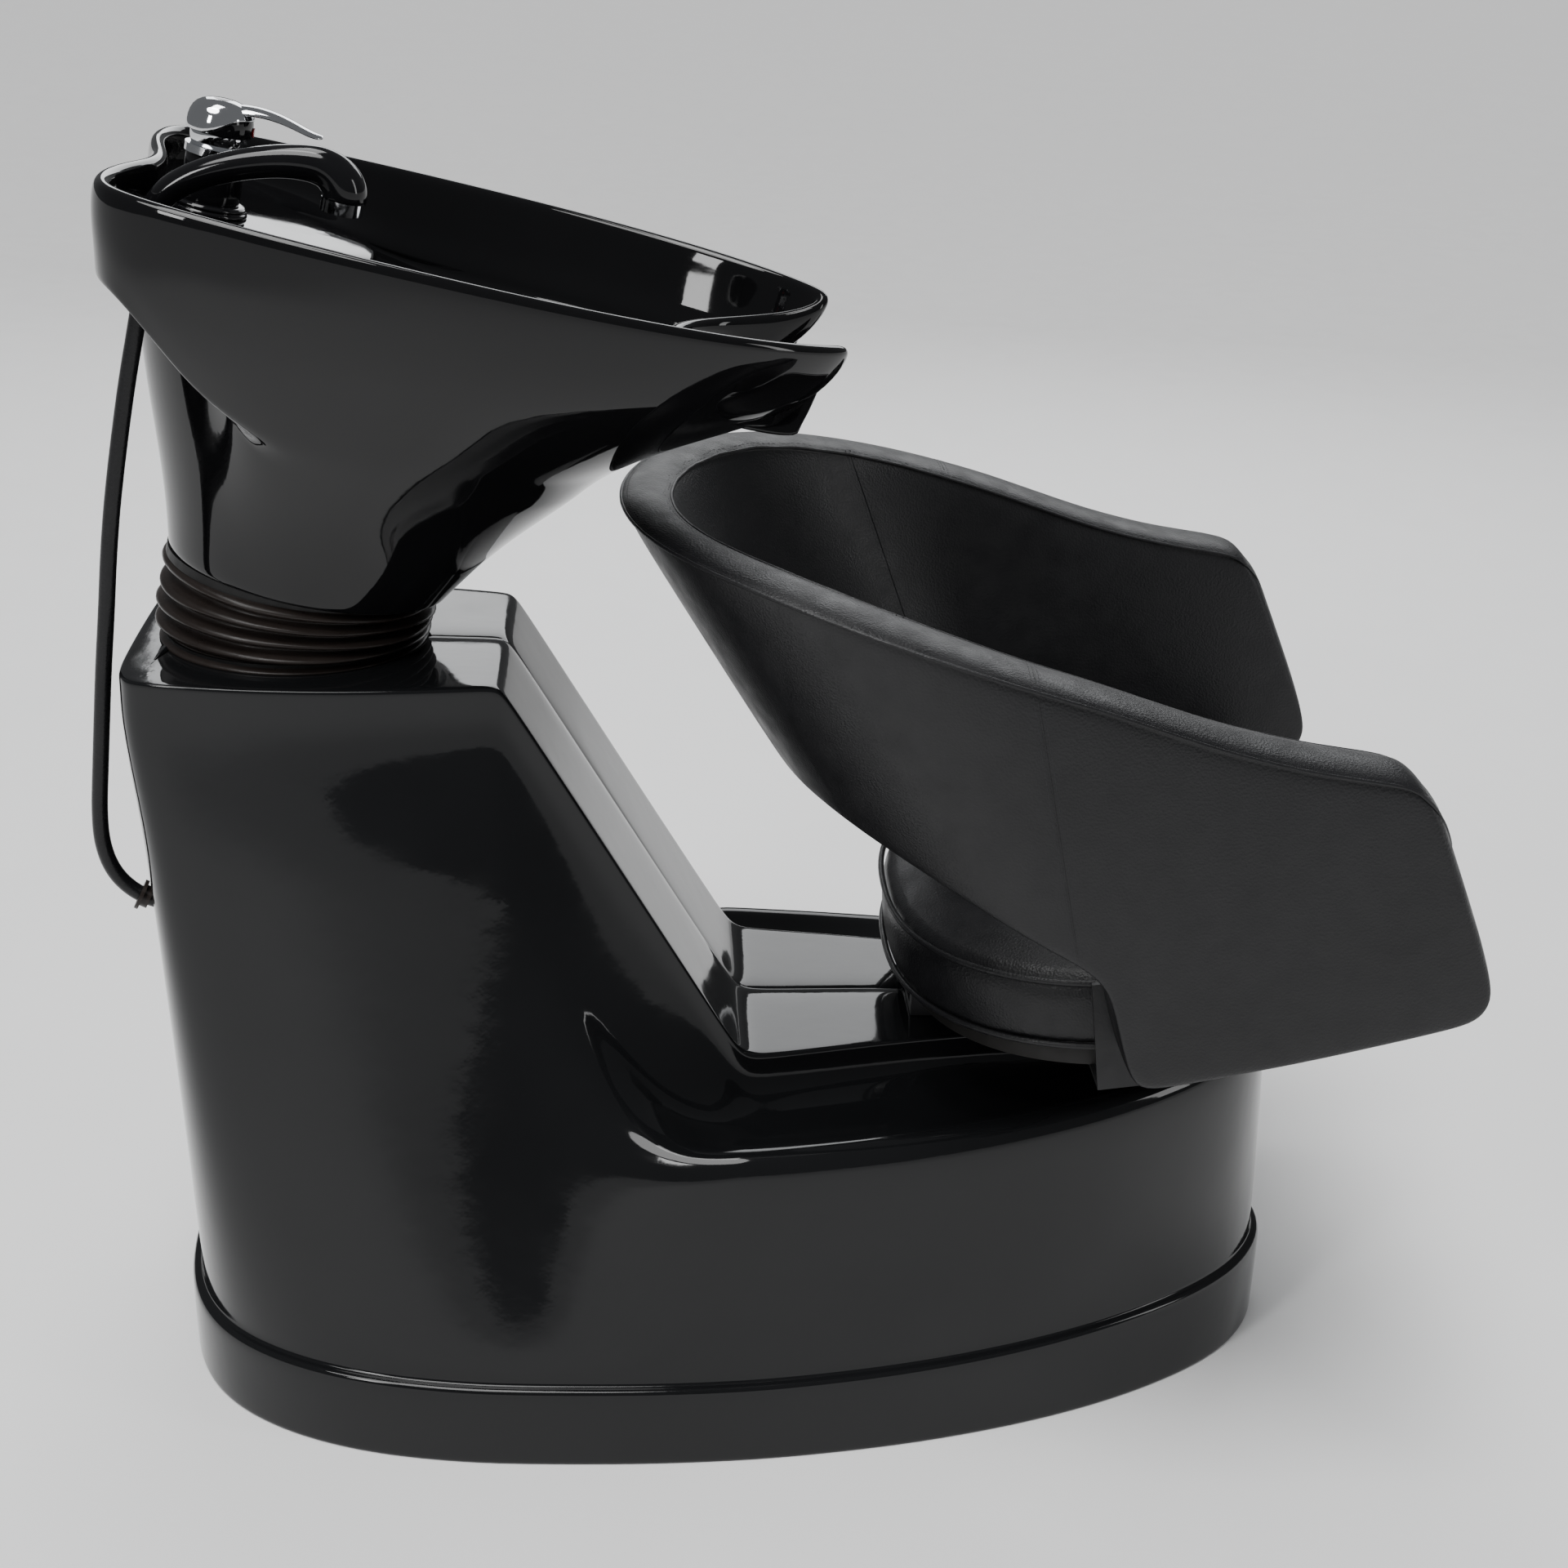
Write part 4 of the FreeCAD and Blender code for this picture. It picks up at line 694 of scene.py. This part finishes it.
def tube(name, path, radius, closed=False, sides=12, roll=None):
    """Round tube along a path: a ring of points square to the path at each of its points."""
    path = np.asarray(path, float)
    radius = np.broadcast_to(radius, (len(path),))
    if closed:
        ahead_by = np.roll(path, -1, 0) - np.roll(path, 1, 0)
    else:
        ahead_by = np.gradient(path, axis=0)
    ahead_by /= np.linalg.norm(ahead_by, axis=1)[:, None]
    side = np.array([0.0, 1.0, 0.0]) if roll is None else np.array(roll, float)
    rings = []
    for p, d, r in zip(path, ahead_by, radius):
        u = side - d * side.dot(d)
        u /= np.linalg.norm(u)
        w = np.cross(d, u)
        a = np.linspace(0, 2 * math.pi, sides, endpoint=False)
        rings.append(p + r * (np.cos(a)[:, None] * u + np.sin(a)[:, None] * w))
    if closed:
        return skin(name, rings + [rings[0]])
    return skin(name, rings, first="pole", last="pole")


for name, level, inset in (("seat_piping_low", z0 + 0.006, 0.0), ("seat_piping_top", z1 - 0.0085, 0.0035)):
    piping = tube(name, seat_plan(inset, level), 0.0026, closed=True, roll=(0, 0, 1))
    reclined(piping)
    dress(piping, hide, "base")

# ------------------------------------------------------------------ mixer
# Brass single-lever mixer in black with a chromed cap: flange, body, collar, and a
# lever that turns for temperature and lifts for flow.


def local(points, x=0.0, y=0.0):
    """Bowl millimetres about an upright axis at x, y, to the row frame."""
    return tilted(np.asarray(points, float) + [x, y, 0])


MIXER_X = -126.0
LEVER_Z = 274 + 49 + 9
sweep = np.linspace(0, 2 * math.pi, 48, endpoint=False)


def turned(name, profile, x, y=0.0):
    """Surface of revolution about an upright axis of the bowl from (radius, height) pairs."""
    rings = []
    for radius, height in profile:
        rings.append(local(np.column_stack([radius * np.cos(sweep), radius * np.sin(sweep),
                                            np.full(48, height)]), x, y))
    return skin(name, rings, first="pole", last="pole")


black_tap = finish_of("black tap enamel", (0.007, 0.007, 0.008), rough=(0.05, 0.12), coat=0.2, grain=(160, 0.03, 0.001),
                      spots=20)
chrome = finish_of("polished chrome", (0.82, 0.83, 0.85), rough=(0.03, 0.09), metal=1.0,
                   grain=(300, 0.02, 0.0005), spots=25,
                   shade=0.94)
body_profile = [(20, 275), (21.8, 275), (21.8, 281), (23.0, 283), (23.4, 290), (22.8, 300), (22.2, 312), (22.2, 315.5),
                (21.2, 316.5), (21.2, 317), (16, 317)]
body = turned("mixer_body_shell", body_profile, MIXER_X)
smooth(body, 1)
dress(body, black_tap, "bowl_unit")
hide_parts("mixer_body")
ribbed = [(21.9, 274.2), (30, 274.2), (30.2, 275), (30, 277.2), (28.4, 278), (28.4, 278.6), (29.2, 279.2),
          (29.2, 280.8),
          (27.6, 281.6), (27.6, 282.2), (24.4, 282.6), (22.0, 282.2)]
flange = turned("mixer_flange_ribbed", ribbed, MIXER_X)
smooth(flange, 1)
dress(flange, black_tap, "bowl_unit")
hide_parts("mixer_flange")

# lever: domed cap blending into a blade that sweeps forward and curls up at the tip
cap_rows = [(21.9, 1.6), (23.6, 1.4), (24.4, 2.4), (24.5, 9), (23.9, 15), (21.2, 20.5), (15.5, 24.6),
            (8, 26.4), (3, 26.8)]
cap_inside = [(3, 23.3), (8, 21.6), (14, 18.3), (18, 14.2), (21.0, 8), (21.9, 2.4)]
rings = []
for radius, height in cap_inside + cap_rows:
    rings.append(np.column_stack([radius * np.cos(sweep), radius * np.sin(sweep), np.full(48, LEVER_Z + height)]))
lever_cap = skin("lever_cap", [local(r, MIXER_X) for r in rings], first="pole", last="pole")
smooth(lever_cap, 1)
dress(lever_cap, black_tap, "lever")
edge_low = 2.2 + 13.5 * ramp(np.cos(sweep), -0.35, 0.75)
cover_rows = []
for share, swell in ((0, 0.2), (0, 1.0), (0.06, 1.3), (0.35, 1.2), (0.7, 1.2), (0.9, 1.2), (0.985, 1.2)):
    height = edge_low + share * (26.9 - edge_low)
    radius = np.interp(height, [h for r, h in cap_rows[2:]], [r for r, h in cap_rows[2:]]) + swell
    cover_rows.append(np.column_stack([radius * np.cos(sweep), radius * np.sin(sweep), LEVER_Z + height]))
cover = skin("lever_cover", [local(r, MIXER_X) for r in cover_rows], last="pole")
smooth(cover, 1)
dress(cover, chrome, "lever")
BLADE = ((4, 18.5, 9.0, 4.0), (10, 21.0, 13.0, 4.2), (20, 23.0, 14.0, 3.6), (32, 23.6, 13.0, 3.1),
         (46, 21.8, 11.8, 2.7),
         (58, 18.6, 11.0, 2.4), (67, 16.2, 10.2, 2.1), (73, 15.6, 8.6, 1.8), (76, 15.8, 5.0, 1.3))
blade_rings = []
around = np.linspace(0, 2 * math.pi, 20, endpoint=False)
for reach, rise, width, thick in BLADE:
    y = width * np.cos(around)
    z = LEVER_Z + rise + thick * np.sin(around) - 0.010 * y * y
    blade_rings.append(np.column_stack([np.full(20, reach), y, z]))
blade = skin("lever_blade", [local(r, MIXER_X) for r in blade_rings], first="pole", last="pole")
smooth(blade, 2)
dress(blade, chrome, "lever")
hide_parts("mixer_handle")

# ------------------------------------------------------------------ hand shower
# Moulded ABS handle that rests in a deck holder, with a chromed spray collar. It lifts
# out on its hose.

HOLDER_X, HOLDER_Y = -150.0, -95.0
START = 274 + 10.4
HANDLE = ((0, -6, 90, 10.2), (0, 0, 90, 10.3), (3, 9, 72, 10.4), (12, 21, 50, 10.6), (30, 34, 33, 10.9),
          (54, 46, 24, 11.3),
          (80, 55, 14, 12.0), (100, 58.5, 6, 13.0), (112, 58.5, -4, 14.5), (122, 55, -35, 16.2), (128, 49, -65, 17.0),
          (130.3, 43, -85, 17.0), (130.5, 38.5, -90, 16.6), (130.5, 37.8, -90, 15.6))
rings = []
for reach, rise, slope, radius in HANDLE:
    a = math.radians(slope)
    up = np.array([-math.sin(a), 0, math.cos(a)])
    ring = np.array([reach, 0, START + rise]) + radius * (np.cos(around)[:, None] * up + np.sin(around)[:,
                                                                                                        None] * [0, 1, 0])
    rings.append(local(ring, HOLDER_X, HOLDER_Y))
handle = skin("handset_handle", rings, first="pole", last="pole", flip=True)
smooth(handle, 2)
dress(handle, black_tap, "hand_shower")
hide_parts("handset_body")

# ------------------------------------------------------------------ shower hose
# Black sheathed hose that hangs behind the bowl and runs back in at the rear of the column.

down = [(-150, -95, 250), (-150, -95, 201), (-151, -94, 150)]
HOSE = [tuple(p) for p in tilted(down)] + [
    (-0.500, -0.092, 0.762), (-0.507, -0.090, 0.712), (-0.512, -0.088, 0.662), (-0.5175, -0.086, 0.614),
    (-0.522, -0.084, 0.567), (-0.526, -0.082, 0.524), (-0.529, -0.0805, 0.492), (-0.529, -0.079, 0.462),
    (-0.522, -0.0775, 0.437), (-0.507, -0.076, 0.419), (-0.486, -0.0753, 0.409), (-0.462, -0.075, 0.405)]


def sampled(points, per_span=14):
    """Clamped quadratic B-spline through the control line, evaluated at even steps."""
    p = np.array(points, float)
    n = len(p)
    knots = np.concatenate([[0, 0], np.arange(0, n - 1), [n - 2, n - 2]])
    out = []
    for t in np.linspace(0, n - 2 - 1e-9, (n - 2) * per_span + 1):
        span = int(t) + 2
        d = [p[j + span - 2].copy() for j in range(3)]
        for r in range(1, 3):
            for j in range(2, r - 1, -1):
                low_knot = knots[j + span - 2]
                high_knot = knots[j + 1 + span - r]
                a = (t - low_knot) / (high_knot - low_knot)
                d[j] = (1 - a) * d[j - 1] + a * d[j]
        out.append(d[2])
    return np.array(out)


line = sampled(HOSE)
hose = tube("shower_hose_sheath", line, 0.0065, sides=16)
sheath = finish_of("hose sheath", (0.008, 0.008, 0.009), rough=(0.22, 0.34), grain=(420, 0.25, 0.0006), spots=30)
dress(hose, sheath, None)
tuple(line[0])
[tuple(p) for p in line]
tuple(line[0])
tuple(line[-40])
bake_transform(hose)
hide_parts("shower_hose")

# ------------------------------------------------------------------ carried CAD pieces
# Plated, painted and moulded hardware, kept as modelled and given its real finish.

FINISHES = {
    "shell": gelcoat, "ceramic": glaze, "rubber": rubber, "leatherette": hide, "chrome": chrome, "tap_black": black_tap,
    "handset": black_tap, "hose": sheath,
    "steel": finish_of("black powder coat", (0.02, 0.02, 0.021), rough=(0.38, 0.52),
                       grain=(420, 0.3, 0.0006), spots=20),
    "zinc": finish_of("zinc plate", (0.62, 0.63, 0.64), rough=(0.22, 0.38), metal=1.0,
                      grain=(260, 0.1, 0.0004), spots=40),
    "ring": finish_of("clamp plastic", (0.012, 0.012, 0.012), rough=(0.35, 0.5), grain=(200, 0.2, 0.0006), spots=24),
    "dot": finish_of("red dot", (0.62, 0.02, 0.02), rough=(0.15, 0.25), grain=(200, 0.05, 0.0004), spots=60),
    "nozzle": finish_of("spray plate", (0.09, 0.09, 0.095), rough=(0.4, 0.5), grain=(300, 0.1, 0.0004), spots=60),
    "supply": finish_of("braided hose", (0.30, 0.30, 0.31), rough=(0.3, 0.5), metal=0.7,
                        grain=(700, 0.4, 0.0006), spots=50,
                        weave="cells"),
    "brass": finish_of("plain brass", (0.55, 0.40, 0.16), rough=(0.2, 0.34), metal=1.0,
                       grain=(200, 0.1, 0.0004), spots=30),
    "foam": finish_of("foam", (0.5, 0.46, 0.36), rough=(0.8, 0.95), grain=(500, 0.4, 0.001), spots=40),
    "plywood": finish_of("stained plywood", (0.016, 0.015, 0.014), rough=(0.5, 0.7), grain=(90, 0.2, 0.001),
                         spots=12, shade=0.7),
}
slot_of = {s["node"]: s["material_slot"] for s in frame["record"]["subparts"]}
for name, obj in frame["nodes"].items():
    if obj.hide_render:
        continue
    obj.data.materials.clear()
    obj.data.materials.append(FINISHES[slot_of[name]])

# ------------------------------------------------------------------ floor, light and camera
# Pale plain floor under broad daylight, a window-like panel behind the bowl, a soft box
# above, and two fills: one from the near side and one from the feet end.

floor = skin("floor", [[(-60, -60, 0), (60, -60, 0)], [(-60, 60, 0), (60, 60, 0)]], around=False)
floor.data.materials.append(finish_of("pale floor", (0.93, 0.93, 0.93), rough=(0.55, 0.7),
                                      grain=(30, 0.02, 0.001), spots=3,
                                      shade=0.99))


def panel(name, place, aim, size, power, colour=(1, 1, 1)):
    """Rectangular soft box at place, facing aim."""
    light = bpy.data.lights.new(name, "AREA")
    light.shape = "RECTANGLE"
    light.size, light.size_y = size
    light.energy = power
    light.color = colour
    lamp = bpy.data.objects.new(name, light)
    bpy.context.scene.collection.objects.link(lamp)
    lamp.location = place
    lamp.rotation_euler = (Vector(aim) - Vector(place)).to_track_quat("-Z", "Y").to_euler()
    return lamp


panel("window", (0.4, 3.4, 2.3), (-0.1, 0, 0.7), (3.4, 1.3), 45, (0.97, 0.985, 1.0))
panel("overhead", (-0.5, 0.2, 3.4), (0, 0, 0.5), (1.6, 0.8), 32)
panel("near side", (-1.9, -2.3, 2.3), (-0.1, 0, 0.6), (0.45, 1.1), 30)
panel("feet end", (3.0, -1.2, 1.7), (0.2, 0, 0.5), (0.5, 1.8), 16)
daylight = bpy.data.lights.new("daylight", "SUN")
daylight.energy = 2.6
daylight.angle = math.radians(35)
sun = bpy.data.objects.new("daylight", daylight)
bpy.context.scene.collection.objects.link(sun)
sun.rotation_euler = Vector((0.25, 0.35, -1)).to_track_quat("-Z", "Y").to_euler()
world = bpy.data.worlds.new("studio")
world.use_nodes = True
sky = world.node_tree.nodes["Background"]
sky.inputs["Color"].default_value = (0.9, 0.92, 0.95, 1)
sky.inputs["Strength"].default_value = 0.16
bpy.context.scene.world = world

lens = bpy.data.cameras.new("camera")
lens.lens = 56.25
lens.sensor_width = 36
camera = bpy.data.objects.new("camera", lens)
bpy.context.scene.collection.objects.link(camera)
right = Vector((0.99752, -0.05453, 0.04448))
down_axis = Vector((0.02063, -0.37766, -0.92572))
forward = Vector((0.06728, 0.92434, -0.37559))
turn_matrix = Matrix((right, -down_axis, -forward)).transposed().to_4x4()
camera.matrix_world = Matrix.Translation((-0.11635, -1.90812, 1.26862)) @ turn_matrix
bpy.context.scene.camera = camera
